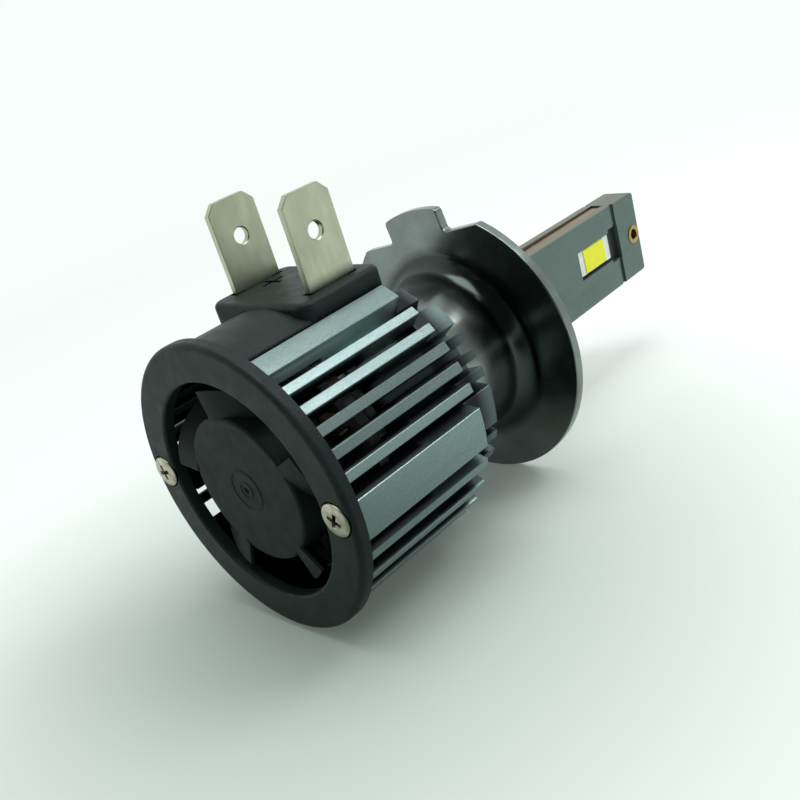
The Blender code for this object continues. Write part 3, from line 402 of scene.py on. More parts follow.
def put(piece: Piece, at: Point, turned: Point = (0.0, 0.0, 0.0)) -> Piece:
    """Turns and moves a piece, with its new place in its mesh.

    Args:
        piece: the piece, at the origin
        at: where it goes
        turned: its turns about X, Y and Z

    Returns:
        the same piece
    """
    piece.rotation_euler = [math.radians(angle) for angle in turned]
    piece.location = at
    wake(piece)
    bpy.ops.object.transform_apply(location=True, rotation=True, scale=False)
    return piece


def put_across(piece: Piece, x: float, z: float = 0.0) -> Piece:
    """Turns a piece from the X axis to the Y axis and moves it along X and Z."""
    return put(piece, (x, 0.0, z), (0.0, 0.0, 90.0))


def turned_copies(piece: Piece, angles: Sequence[float]) -> list[Piece]:
    """Copies of a piece turned about the axis, each with its own mesh.

    Args:
        piece: the pattern, which is removed
        angles: the copies' angles

    Returns:
        the copies
    """
    made = [put(own_copy(piece), (0.0, 0.0, 0.0), (-angle, 0.0, 0.0)) for angle in angles]
    bpy.data.objects.remove(piece)
    return made


def join(pieces: Sequence[Piece]) -> Piece:
    """Joins pieces into the first of them.

    Args:
        pieces: the pieces

    Returns:
        the first piece, with all meshes in it
    """
    wake(pieces[0])
    for piece in pieces[1:]:
        piece.select_set(True)
    bpy.ops.object.join()
    return pieces[0]


def settle(piece: Piece, roll: float = 0.0) -> Piece:
    """Brings a piece from millimetres to metres, clocked about the axis.

    Args:
        piece: the piece
        roll: its turn about X

    Returns:
        the same piece, with its place in its mesh
    """
    wake(piece)
    piece.rotation_euler.x = math.radians(roll)
    piece.scale = (MM, MM, MM)
    bpy.ops.object.transform_apply(location=True, rotation=True, scale=True)
    return piece


def node(
    tree: Tree, kind: str, inputs: dict[str | int, object], **settings: object
) -> bpy.types.Node:
    """Adds a shader node.

    Args:
        tree: the tree that it goes into
        kind: its type, without the ShaderNode at the start
        inputs: the socket that feeds each input, or its fixed value, by the input's name or number
        settings: the node's own options

    Returns:
        the node
    """
    made = tree.nodes.new(f"ShaderNode{kind}")
    for label, value in settings.items():
        setattr(made, label, value)
    for label, source in inputs.items():
        if isinstance(source, Socket):
            tree.links.new(source, made.inputs[label])
        else:
            made.inputs[label].default_value = source
    return made


def bring(tree: Tree, how: Sum, first: Socket, second: Socket) -> Socket:
    """Two node values brought together."""
    return node(tree, "Math", {0: first, 1: second}, operation=how.value).outputs["Value"]


def tones(tree: Tree, share: Socket, first: Socket | Colour, second: Colour) -> Socket:
    """Mixes two colours.

    Args:
        tree: the node tree
        share: how much of the second colour shows
        first: the first colour, or the socket that gives it
        second: the second colour

    Returns:
        the mixed colour
    """
    start = first if isinstance(first, Socket) else (*first, 1.0)
    inputs = {"Factor": share, "A": start, "B": (*second, 1.0)}
    return node(tree, "Mix", inputs, data_type="RGBA").outputs["Result"]


def parts_of(tree: Tree, where: Socket) -> Sockets:
    """The X, Y and Z of a place."""
    return node(tree, "SeparateXYZ", {"Vector": where}).outputs


def sizes_of(tree: Tree, where: Socket) -> Sockets:
    """The X, Y and Z of a place without their signs."""
    size = node(tree, "VectorMath", {0: where}, operation="ABSOLUTE").outputs["Vector"]
    return parts_of(tree, size)


def radius_of(tree: Tree, where: Socket) -> Socket:
    """A place's distance from the bulb's axis.

    Args:
        tree: the node tree
        where: the place

    Returns:
        the distance
    """
    inputs = {0: where, 1: (0.0, 1.0, 1.0)}
    across = node(tree, "VectorMath", inputs, operation="MULTIPLY").outputs["Vector"]
    return node(tree, "VectorMath", {0: across}, operation="LENGTH").outputs["Value"]


def noise(group: Tree, entry: Sockets) -> Socket:
    """Soft noise in a group's tree."""
    inputs = {label: entry[label] for label in ("Vector", "Scale", "Detail")}
    return node(group, "TexNoise", inputs).outputs["Fac"]


def rings(group: Tree, entry: Sockets) -> Socket:
    """Fine rings about the bulb's axis in a group's tree.

    Args:
        group: the group
        entry: its inputs

    Returns:
        the rings' pattern
    """
    along = parts_of(group, entry["Vector"])["X"]
    place = bring(group, Sum.TOTAL, radius_of(group, entry["Vector"]), along)
    inputs = {"W": place, "Scale": entry["Scale"]}
    return node(group, "TexNoise", inputs, noise_dimensions="1D").outputs["Fac"]


def specks(group: Tree, entry: Sockets) -> Socket:
    """Cells of different tones in a group's tree.

    Args:
        group: the group
        entry: its inputs

    Returns:
        the cells' pattern
    """
    inputs = {label: entry[label] for label in ("Vector", "Scale")}
    cells = node(group, "TexVoronoi", inputs).outputs["Color"]
    return node(group, "SeparateColor", {"Color": cells}).outputs["Red"]


class Groups:
    """Shader node groups that several finishes share, each built once."""

    @staticmethod
    def shared(name: str, numbers: Sequence[str], draw: Callable[[Tree, Sockets], Socket]) -> Tree:
        """A group that spreads a pattern between its Low and High inputs.

        Args:
            name: the group's name
            numbers: the names of the number inputs that its pattern reads
            draw: makes the pattern in the group's tree from the group's inputs

        Returns:
            the group, built on its first use
        """
        found = bpy.data.node_groups.get(name)
        if found:
            return found
        group = bpy.data.node_groups.new(name, "ShaderNodeTree")
        group.interface.new_socket("Vector", in_out="INPUT", socket_type="NodeSocketVector")
        for label in (*numbers, "Low", "High"):
            group.interface.new_socket(label, in_out="INPUT", socket_type="NodeSocketFloat")
        group.interface.new_socket("Value", in_out="OUTPUT", socket_type="NodeSocketFloat")
        entry = group.nodes.new("NodeGroupInput").outputs
        spread = {"Value": draw(group, entry), "From Min": entry["Low"], "From Max": entry["High"]}
        leave = group.nodes.new("NodeGroupOutput")
        group.links.new(node(group, "MapRange", spread).outputs["Result"], leave.inputs["Value"])
        return group

    @classmethod
    def mottle(cls) -> Tree:
        """Blotches, smudges and fine grain."""
        return cls.shared("mottle", ("Scale", "Detail"), noise)

    @classmethod
    def turning_marks(cls) -> Tree:
        """Fine rings, as a lathe leaves them."""
        return cls.shared("turning_marks", ("Scale",), rings)

    @classmethod
    def flecks(cls) -> Tree:
        """Scattered bright specks, as blasted metal shows them."""
        return cls.shared("flecks", ("Scale",), specks)


@dataclass(frozen=True)
class Finish:
    """A surface finish: two tones mottled into each other, a varying gloss and a fine grain.

    Attributes:
        name: the material's name
        slot: the record's material slot; not used
        tone: the main colour
        other: the colour that the mottling leads to
        rough: the least and most roughness
        metallic: 1 for uncoated metal
        mottle: blotches per metre, before the stretch
        stretch: scale of the pattern along X, Y and Z
        grain: grains per metre
        bump: strength of the grain's relief
        specular: gloss of a surface that isn't metal
        blotch: the thresholds of the blotches
        blotch_detail: how finely the blotches are drawn
        smudge: the thresholds of the smudges in the gloss
        smudge_share: smudges for each blotch
        pit: the thresholds of the grain
        pit_detail: how finely the grain is drawn
        pit_depth: the depth of the grain in metres
    """

    name: str
    slot: str
    tone: Colour
    other: Colour
    rough: Flat
    metallic: float = 0.0
    mottle: float = 260.0
    stretch: Point = (1.0, 1.0, 1.0)
    grain: float = 7000.0
    bump: float = 0.06
    specular: float = 0.5
    blotch: Flat = (0.3, 0.72)
    blotch_detail: float = 3.0
    smudge: Flat = (0.25, 0.75)
    smudge_share: float = 2.3
    pit: Flat = (0.2, 0.8)
    pit_detail: float = 2.0
    pit_depth: float = 0.05 * MM

    def material(self) -> bpy.types.Material:
        """The finish as a material.

        Returns:
            the material, built on its first use
        """
        found = bpy.data.materials.get(self.name)
        if found:
            return found
        made = bpy.data.materials.new(self.name)
        made.use_nodes = True
        tree = made.node_tree
        shader = tree.nodes["Principled BSDF"]
        shader.inputs["Metallic"].default_value = self.metallic
        shader.inputs["Specular IOR Level"].default_value = self.specular
        where = node(tree, "TexCoord", {}).outputs["Object"]
        vector = node(tree, "Mapping", {"Vector": where, "Scale": self.stretch}).outputs["Vector"]
        tree.links.new(self.colour(tree, where, vector), shader.inputs["Base Color"])
        tree.links.new(self.gloss(tree, where, vector), shader.inputs["Roughness"])
        relief = {"Strength": self.bump, "Distance": self.pit_depth}
        relief["Height"] = self.relief(tree, where)
        tree.links.new(node(tree, "Bump", relief).outputs["Normal"], shader.inputs["Normal"])
        return made

    def pattern(
        self, tree: Tree, group: Tree, vector: Socket, spread: Flat, **values: float
    ) -> Socket:
        """Places a shared node group.

        Args:
            tree: the material's node tree
            group: the shared group
            vector: where the pattern reads its place from
            spread: the thresholds that it is spread between
            values: the group's other number inputs by their lower-case names

        Returns:
            the group's Value output
        """
        inputs = {"Vector": vector, "Low": spread[0], "High": spread[1]}
        inputs |= {label.capitalize(): value for label, value in values.items()}
        return node(tree, "Group", inputs, node_tree=group).outputs["Value"]

    def fade(self, tree: Tree, limits: Sequence[Limit]) -> Socket:
        """A share that falls to nothing over the spans of some values.

        Args:
            tree: the material's node tree
            limits: each value, with where its share is 1 and where it is 0

        Returns:
            the product of the shares
        """
        shares = []
        for value, (full, none) in limits:
            inputs = {"Value": value, "From Min": none, "From Max": full}
            shares.append(node(tree, "MapRange", inputs).outputs["Result"])
        return reduce(lambda first, second: bring(tree, Sum.PRODUCT, first, second), shares)

    def layered(
        self, tree: Tree, colour: Socket, *layers: tuple[Colour, Sequence[Limit]]
    ) -> Socket:
        """Lays tones over a colour.

        Args:
            tree: the material's node tree
            colour: the colour beneath
            layers: each tone, with the limits that it fades over

        Returns:
            the layered colour
        """
        for tone, limits in layers:
            colour = tones(tree, self.fade(tree, limits), colour, tone)
        return colour

    def colour(self, tree: Tree, where: Socket, vector: Socket) -> Socket:
        """The surface's colour: the main tone mottled with the other.

        Args:
            tree: the material's node tree
            where: the place on the piece
            vector: the place, stretched for the mottling

        Returns:
            the colour
        """
        values = {"scale": self.mottle, "detail": self.blotch_detail}
        share = self.pattern(tree, Groups.mottle(), vector, self.blotch, **values)
        return tones(tree, share, self.tone, self.other)

    def gloss(self, tree: Tree, where: Socket, vector: Socket) -> Socket:
        """The surface's roughness, in smudges between its two limits.

        Args:
            tree: the material's node tree
            where: the place on the piece
            vector: the place, stretched for the mottling

        Returns:
            the roughness
        """
        values = {"scale": self.mottle * self.smudge_share, "detail": self.blotch_detail}
        share = self.pattern(tree, Groups.mottle(), vector, self.smudge, **values)
        inputs = {"Value": share, "To Min": self.rough[0], "To Max": self.rough[1]}
        return node(tree, "MapRange", inputs).outputs["Result"]

    def relief(self, tree: Tree, where: Socket) -> Socket:
        """The height of the surface's fine grain."""
        values = {"scale": self.grain, "detail": self.pit_detail}
        return self.pattern(tree, Groups.mottle(), where, self.pit, **values)


@dataclass(frozen=True)
class FleckedFinish(Finish):
    """A blasted metal finish with bright specks.

    Attributes:
        fleck: the specks' colour
        fleck_scale: specks per metre
        fleck_spread: the thresholds of the specks
    """

    fleck: Colour = (0.7, 0.75, 0.77)
    fleck_scale: float = 15000.0
    fleck_spread: Flat = (0.62, 1.05)

    def colour(self, tree: Tree, where: Socket, vector: Socket) -> Socket:
        """The mottled colour with bright specks over it.

        Args:
            tree: the material's node tree
            where: the place on the piece
            vector: the place, stretched for the mottling

        Returns:
            the colour
        """
        spread, scale = self.fleck_spread, self.fleck_scale
        share = self.pattern(tree, Groups.flecks(), where, spread, scale=scale)
        return tones(tree, share, super().colour(tree, where, vector), self.fleck)


@dataclass(frozen=True)
class SlotShadedFinish(FleckedFinish):
    """A metal finish: painted shade in the slots, on the front steps and in the bore, and painted
    light under the arm's land.

    Attributes:
        deep: the painted shade at the bottom of the slots and on the lower fins' flanks
        depth: radii in metres between which the painted shade of the slots fades
        low: Z in metres between which the painted shade of the lower fins begins
        low_depth: radii in metres between which the painted shade of the lower fins fades
        shade: the painted shade on the front steps beside the fins
        shade_span: X in metres between which the front steps begin
        step: the lighter painted shade of the front steps at their front ends
        step_span: X in metres between which the ends fade
        bore: the painted shade in the bore
        bore_rough: the roughness in the bore
        bore_depth: radii in metres between which the bore's painted shade fades
        bore_span: X in metres between which the bore begins
        wall: the painted light on the wall under the arm's land
        wall_depth: radii in metres between which the wall begins
        wall_span: X in metres between which the wall ends
        wall_width: distances in metres from the middle plane between which the wall ends
        wall_height: Z in metres between which the wall begins
    """

    deep: Colour = (0.03, 0.042, 0.043)
    depth: Flat = (0.0137, 0.0146)
    low: Flat = (-0.0058, -0.0053)
    low_depth: Flat = (0.01545, 0.01568)
    shade: Colour = (0.007, 0.01, 0.0102)
    shade_span: Flat = (-0.0158, -0.0162)
    step: Colour = (0.078, 0.108, 0.108)
    step_span: Flat = (-0.0124, -0.0142)
    bore: Colour = (0.008, 0.01, 0.011)
    bore_rough: float = 1.0
    bore_depth: Flat = (0.0149, 0.0157)
    bore_span: Flat = (-0.0245, -0.023)
    wall: Colour = (0.5, 0.65, 0.63)
    wall_depth: Flat = (0.0156, 0.01575)
    wall_span: Flat = (-0.0172, -0.0164)
    wall_width: Flat = (0.0092, 0.0094)
    wall_height: Flat = (0.009, 0.006)

    def colour(self, tree: Tree, where: Socket, vector: Socket) -> Socket:
        """The flecked colour, with painted shade and painted light laid over it by the distance
        from the axis and along it.

        Args:
            tree: the material's node tree
            where: the place on the piece
            vector: the place, stretched for the mottling

        Returns:
            the colour
        """
        radius, place = radius_of(tree, where), parts_of(tree, where)
        slot, ahead = (radius, self.depth), (place["X"], self.shade_span)
        below = [(radius, self.low_depth), (place["Z"], self.low)]
        wall = [(radius, self.wall_depth), (place["X"], self.wall_span)]
        wall += [(sizes_of(tree, where)["Y"], self.wall_width), (place["Z"], self.wall_height)]
        # Painted shade in the slots, on the lower fins' flanks, on the front steps and in the bore,
        # then painted light on the wall under the arm's land.
        return self.layered(
            tree,
            super().colour(tree, where, vector),
            (self.deep, [slot]),
            (self.deep, below),
            (self.shade, [slot, ahead]),
            (self.step, [slot, ahead, (place["X"], self.step_span)]),
            (self.bore, self.inside(tree, where)),
            (self.wall, wall),
        )

    def inside(self, tree: Tree, where: Socket) -> list[Limit]:
        """The limits of the bore's shade."""
        along = parts_of(tree, where)["X"]
        return [(radius_of(tree, where), self.bore_depth), (along, self.bore_span)]

    def gloss(self, tree: Tree, where: Socket, vector: Socket) -> Socket:
        """The smudged roughness, with the bore's own inside.

        Args:
            tree: the material's node tree
            where: the place on the piece
            vector: the place, stretched for the mottling

        Returns:
            the roughness
        """
        share = self.fade(tree, self.inside(tree, where))
        outside = super().gloss(tree, where, vector)
        inputs = {"Factor": share, "A": outside, "B": self.bore_rough}
        return node(tree, "Mix", inputs).outputs["Result"]


@dataclass(frozen=True)
class PlateFinish(FleckedFinish):
    """The finish of the stick's faces: painted shade in the recesses, and a lighter tan along the
    long edges, partly their own tone and partly painted highlight.

    Attributes:
        recess: the painted shade in the recesses
        recess_span: distances in metres from the middle plane between which the painted shade fades
        bare: the lighter tan of the long edges, partly their own tone and partly painted highlight
        edge_tone_and_highlight_span: heights in metres between which the tan and highlight of the
            edges fade
    """

    recess: Colour = (0.075, 0.1, 0.097)
    recess_span: Flat = (0.0016, 0.00195)
    bare: Colour = (0.185, 0.2, 0.16)
    edge_tone_and_highlight_span: Flat = (0.00575, 0.0055)

    def colour(self, tree: Tree, where: Socket, vector: Socket) -> Socket:
        """The flecked colour, with painted shade in the recesses and the tan with painted highlight
        along the edges.

        Args:
            tree: the material's node tree
            where: the place on the piece
            vector: the place, stretched for the mottling

        Returns:
            the colour
        """
        size = sizes_of(tree, where)
        # Painted shade in the recesses, then a tan along the long edges that is partly painted
        # highlight.
        recessed = (self.recess, [(size["Y"], self.recess_span)])
        edge_toned = (self.bare, [(size["Z"], self.edge_tone_and_highlight_span)])
        return self.layered(tree, super().colour(tree, where, vector), recessed, edge_toned)


@dataclass(frozen=True)
class TurnedFinish(Finish):
    """A turned and polished metal finish with fine rings about the axis.

    Attributes:
        marks: the thresholds of the rings
    """

    marks: Flat = (0.3, 0.7)

    def relief(self, tree: Tree, where: Socket) -> Socket:
        """The height of the turning marks."""
        return self.pattern(tree, Groups.turning_marks(), where, self.marks, scale=self.grain)


@dataclass(frozen=True)
class FlaredFinish(TurnedFinish):
    """A turned metal finish with painted shade in a flare between a neck and a flange, which dims
    its reflections.

    Attributes:
        flare: the flare's painted shade
        flare_radius: radii in metres between which it ends on the flange
        flare_span: X in metres between which it ends on the neck
    """

    flare: Colour = (0.05, 0.063, 0.058)
    flare_radius: Flat = (0.0114, 0.0127)
    flare_span: Flat = (-0.0034, -0.0048)

    def colour(self, tree: Tree, where: Socket, vector: Socket) -> Socket:
        """The mottled colour, with painted shade in the flare.

        Args:
            tree: the material's node tree
            where: the place on the piece
            vector: the place, stretched for the mottling

        Returns:
            the colour
        """
        along = parts_of(tree, where)["X"]
        limits = [(radius_of(tree, where), self.flare_radius), (along, self.flare_span)]
        return self.layered(tree, super().colour(tree, where, vector), (self.flare, limits))


@dataclass(frozen=True)
class EndShadedFinish(Finish):
    """A metal finish with painted shade along one axis, at a blade's foot or in a recess.

    Attributes:
        end: the painted shade at the dark end
        axis: the axis
        span: the places in metres on the axis where the shade is full and where it has gone
    """

    end: Colour = (0.1, 0.1, 0.08)
    axis: Direction = Direction.Z
    span: Flat = (0.0155, 0.0175)

    def colour(self, tree: Tree, where: Socket, vector: Socket) -> Socket:
        """The mottled colour, with painted shade towards the dark end."""
        limits = [(parts_of(tree, where)[self.axis.name], self.span)]
        return self.layered(tree, super().colour(tree, where, vector), (self.end, limits))


class Finishes:
    """The finishes of the bulb."""

    # Painted shade in the slots, on the front steps and in the bore, and painted light under the
    # arm's land.
    SINK = SlotShadedFinish(
        "anodised_sink", "anodised_aluminium",
        (0.165, 0.228, 0.226), (0.195, 0.265, 0.261), (0.25, 0.34), 0.85,
        mottle=700.0, stretch=(0.08, 1.0, 1.0), grain=16000.0, bump=0.15, fleck=(0.26, 0.33, 0.325),
    )
    COVER = Finish(
        "cover_black", "black_moulding",
        (0.0078, 0.0145, 0.0136), (0.0108, 0.0192, 0.0178), (0.4, 0.55),
        grain=5200.0, bump=0.55, specular=0.18,
    )
    FAN = Finish(
        "fan_black", "fan_moulding",
        (0.0078, 0.0138, 0.0128), (0.011, 0.018, 0.0165), (0.5, 0.62),
        grain=8000.0, bump=0.15, specular=0.15,
    )
    BASE = Finish(
        "base_black", "fan_moulding", (0.012, 0.0125, 0.013), (0.018, 0.019, 0.02), (0.5, 0.65)
    )
    # Painted shade deep in the cross recesses and under the heads' rims.
    SCREW = EndShadedFinish(
        "screw_nickel", "nickel_screw",
        (0.56, 0.545, 0.44), (0.3, 0.27, 0.185), (0.27, 0.42), 1.0,
        mottle=1100.0, bump=0.05,
        end=(0.12, 0.085, 0.045), axis=Direction.X, span=(-0.03575, -0.03605),
    )
    # Painted shade towards the blades' feet.
    TAB = EndShadedFinish(
        "spade_tinned", "tinned_brass",
        (0.5, 0.54, 0.405), (0.4, 0.43, 0.32), (0.34, 0.46), 1.0,
        mottle=520.0, stretch=(1.0, 1.0, 0.35), grain=9000.0, bump=0.08,
    )
    # Painted shade in the flare between the neck and the flange.
    STEEL = FlaredFinish(
        "collar_polished", "polished_steel",
        (0.225, 0.272, 0.258), (0.155, 0.168, 0.156), (0.15, 0.25), 1.0,
        mottle=180.0, grain=5200.0, bump=0.05,
    )
    # Painted shade in the recesses and a partly painted highlight along the long edges.
    PLATE = PlateFinish(
        "plate_anodised", "grey_anodised_plate",
        (0.1, 0.145, 0.132), (0.118, 0.165, 0.15), (0.42, 0.52), 0.65,
        mottle=420.0, stretch=(0.2, 1.0, 1.0), grain=11000.0, bump=0.12, fleck=(0.16, 0.21, 0.195),
    )
    COPPER = Finish(
        "carrier_copper", "copper_core",
        (0.42, 0.28, 0.21), (0.33, 0.2, 0.145), (0.4, 0.55), 1.0,
        mottle=520.0, stretch=(0.3, 1.0, 1.0),
    )
    CERAMIC = Finish(
        "led_ceramic", "white_ceramic",
        (0.8, 0.82, 0.8), (0.72, 0.74, 0.72), (0.4, 0.55),
        mottle=800.0,
    )
    PHOSPHOR = Finish(
        "led_phosphor", "yellow_phosphor",
        (0.88, 0.9, 0.012), (0.84, 0.83, 0.01), (0.45, 0.6),
        mottle=900.0, grain=14000.0, bump=0.15,
    )
    BRASS = Finish(
        "rivet_brass", "brass_rivet",
        (0.5, 0.35, 0.13), (0.36, 0.23, 0.07), (0.3, 0.45), 1.0,
        mottle=1500.0,
    )
    BOARD = Finish(
        "board_green", "board_laminate", (0.015, 0.055, 0.03), (0.02, 0.075, 0.04), (0.35, 0.5)
    )
    CHIP = Finish(
        "chip_black", "chip_moulding", (0.018, 0.018, 0.019), (0.03, 0.03, 0.031), (0.4, 0.55)
    )
    CAPACITOR = Finish(
        "capacitor_tan", "capacitor_ceramic", (0.42, 0.3, 0.18), (0.33, 0.22, 0.12), (0.35, 0.5)
    )
    FERRITE = Finish(
        "ferrite_grey", "ferrite_can", (0.05, 0.05, 0.053), (0.075, 0.075, 0.078), (0.5, 0.65)
    )
    LEAD = Finish(
        "lead_black", "lead_insulation", (0.03, 0.03, 0.032), (0.05, 0.05, 0.052), (0.4, 0.55)
    )
    SUPPLY = Finish(
        "lead_red", "supply_insulation", (0.36, 0.02, 0.018), (0.27, 0.014, 0.012), (0.4, 0.55)
    )
    YOKE = Finish(
        "yoke_grey", "motor_steel", (0.42, 0.42, 0.42), (0.33, 0.33, 0.33), (0.3, 0.45), 1.0
    )
    MAGNET = Finish(
        "magnet_dark", "bonded_magnet", (0.045, 0.042, 0.04), (0.065, 0.06, 0.056), (0.5, 0.65)
    )
    SHAFT = Finish(
        "shaft_bright", "shaft_steel", (0.6, 0.6, 0.6), (0.5, 0.5, 0.5), (0.15, 0.25), 1.0
    )
    CLIP = Finish("clip_white", "clip_plastic", (0.68, 0.68, 0.64), (0.6, 0.6, 0.56), (0.4, 0.55))
    BRONZE = Finish(
        "bearing_bronze", "sintered_bronze",
        (0.45, 0.32, 0.16), (0.36, 0.25, 0.12), (0.4, 0.55), 1.0,
    )
    WINDING = Finish(
        "winding_copper", "enamelled_copper",
        (0.48, 0.2, 0.08), (0.36, 0.14, 0.05), (0.25, 0.4), 1.0,
        mottle=3000.0,
    )


# The frame's nodes that keep their own solids, by finish.
KEPT_NODES: dict[Finish, tuple[str, ...]] = {
    Finishes.BASE: ("fan_base",),
    Finishes.BOARD: ("driver_board", "motor_board"),
    Finishes.FERRITE: ("inductor",),
    Finishes.CHIP: ("controller_chip", "rectifier_diode"),
    Finishes.CAPACITOR: ("input_capacitor", "output_capacitor"),
    Finishes.LEAD: ("fan_lead_1", "fan_lead_2", "led_lead_near", "led_lead_far"),
    Finishes.SUPPLY: ("supply_lead_near", "supply_lead_far"),
    Finishes.BRONZE: ("fan_bearing",),
    Finishes.YOKE: ("stator_core", "rotor_yoke"),
    Finishes.WINDING: ("coil_1", "coil_2", "coil_3", "coil_4"),
    Finishes.MAGNET: ("magnet_ring",),
    Finishes.SHAFT: ("fan_shaft",),
    Finishes.CLIP: ("shaft_clip",),
}


def dress(piece: Piece, finish: Finish) -> None:
    """Gives a piece or a node one finish all over."""
    piece.data.materials.clear()
    piece.data.materials.append(finish.material())


def hand_in(piece: Piece, finish: Finish, body: Body, *nodes: str) -> None:
    """Dresses a settled piece and sets it on the frame in place of its nodes.

    Args:
        piece: the finished piece, in metres
        finish: its finish
        body: the body that it rides on
        nodes: the frame's nodes that it stands for
    """
    dress(piece, finish)
    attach(piece, body.value)
    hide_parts(*nodes)
    faces = len(piece.data.polygons)
    LOG.info("%s: %d faces, stands for %s", piece.name, faces, ", ".join(nodes))


@dataclass
class Collar:
    """The polished steel collar: a flange with a flat and a lug, on a flared neck."""

    thick: float = 1.2
    radius: float = 16.8
    flat: float = 13.74
    corner: float = 0.7
    edge: float = 0.14
    edge_segments: int = 3
    lug_width: float = 8.9
    lug_radius: float = 17.1
    lug_corner: float = 0.6
    lug_steps: int = 16
    neck_rear: float = -11.4
    neck_radius: float = 9.6
    neck_chamfer: float = 0.15
    neck_gap: float = 0.02
    flare: float = 2.4
    flare_steps: int = 20
    bore: float = 7.9
    bore_ends: Flat = (-3.0, 1.0)
    overlap: float = 0.1

    def outline(self) -> list[Flat]:
        """The flange's outline.

        Returns:
            its (Y, Z) points
        """
        flat = math.degrees(math.acos(self.flat / self.radius))
        bend = flat + math.degrees(2 * self.corner / self.radius)
        half_lug = self.lug_width / 2
        lug_side = math.sqrt(self.lug_radius**2 - half_lug**2)
        lug_bend = math.degrees(math.asin((half_lug - 2 * self.lug_corner) / self.lug_radius))
        foot, top = (half_lug, self.flat), (half_lug, lug_side)
        half = fillet(polar(self.lug_radius, lug_bend), top, foot, self.lug_corner)
        half += fillet(top, foot, polar(self.radius, flat), self.lug_corner)
        half += fillet(foot, polar(self.radius, flat), polar(self.radius, bend), self.corner)
        mirrored = [(-y, z) for y, z in reversed(half)]
        rim = arc(self.radius, bend, 360.0 - bend, FINE_STEPS)
        return half + rim + mirrored + arc(self.lug_radius, -lug_bend, lug_bend, self.lug_steps)

    def flange(self) -> Piece:
        """The flange plate with its bore and broken edges.

        Returns:
            the flange
        """
        plate = press("collar_steel", self.outline(), -self.thick, 0.0, Direction.X)
        cut_away(plate, [rod("flange_bore", self.bore, *self.bore_ends)])
        return smooth(soften(plate, self.edge, self.edge_segments))

    def neck(self) -> Piece:
        """The turned neck with its flare into the flange.

        Returns:
            the neck
        """
        centre = (-self.thick - self.flare, self.neck_radius + self.flare)
        inner = self.bore + self.neck_gap
        profile = [
            (self.neck_rear, inner),
            (self.neck_rear, self.neck_radius - self.neck_chamfer),
            (self.neck_rear + self.neck_chamfer, self.neck_radius),
            (self.neck_rear + 2 * self.neck_chamfer, self.neck_radius),
            (centre[0] - self.neck_chamfer, self.neck_radius),
        ]
        profile += quarter(centre, self.flare, -90, 0, self.flare_steps)
        front = -self.thick + self.overlap
        profile += [(front, centre[1]), (front, inner)]
        return smooth(turn("collar_neck", profile, 2 * FINE_STEPS))

    def build(self) -> None:
        """Builds the collar and sets it on the frame."""
        piece = settle(join([self.flange(), self.neck()]), COLLAR_ROLL)
        hand_in(piece, Finishes.STEEL, Body.STILL, "collar")


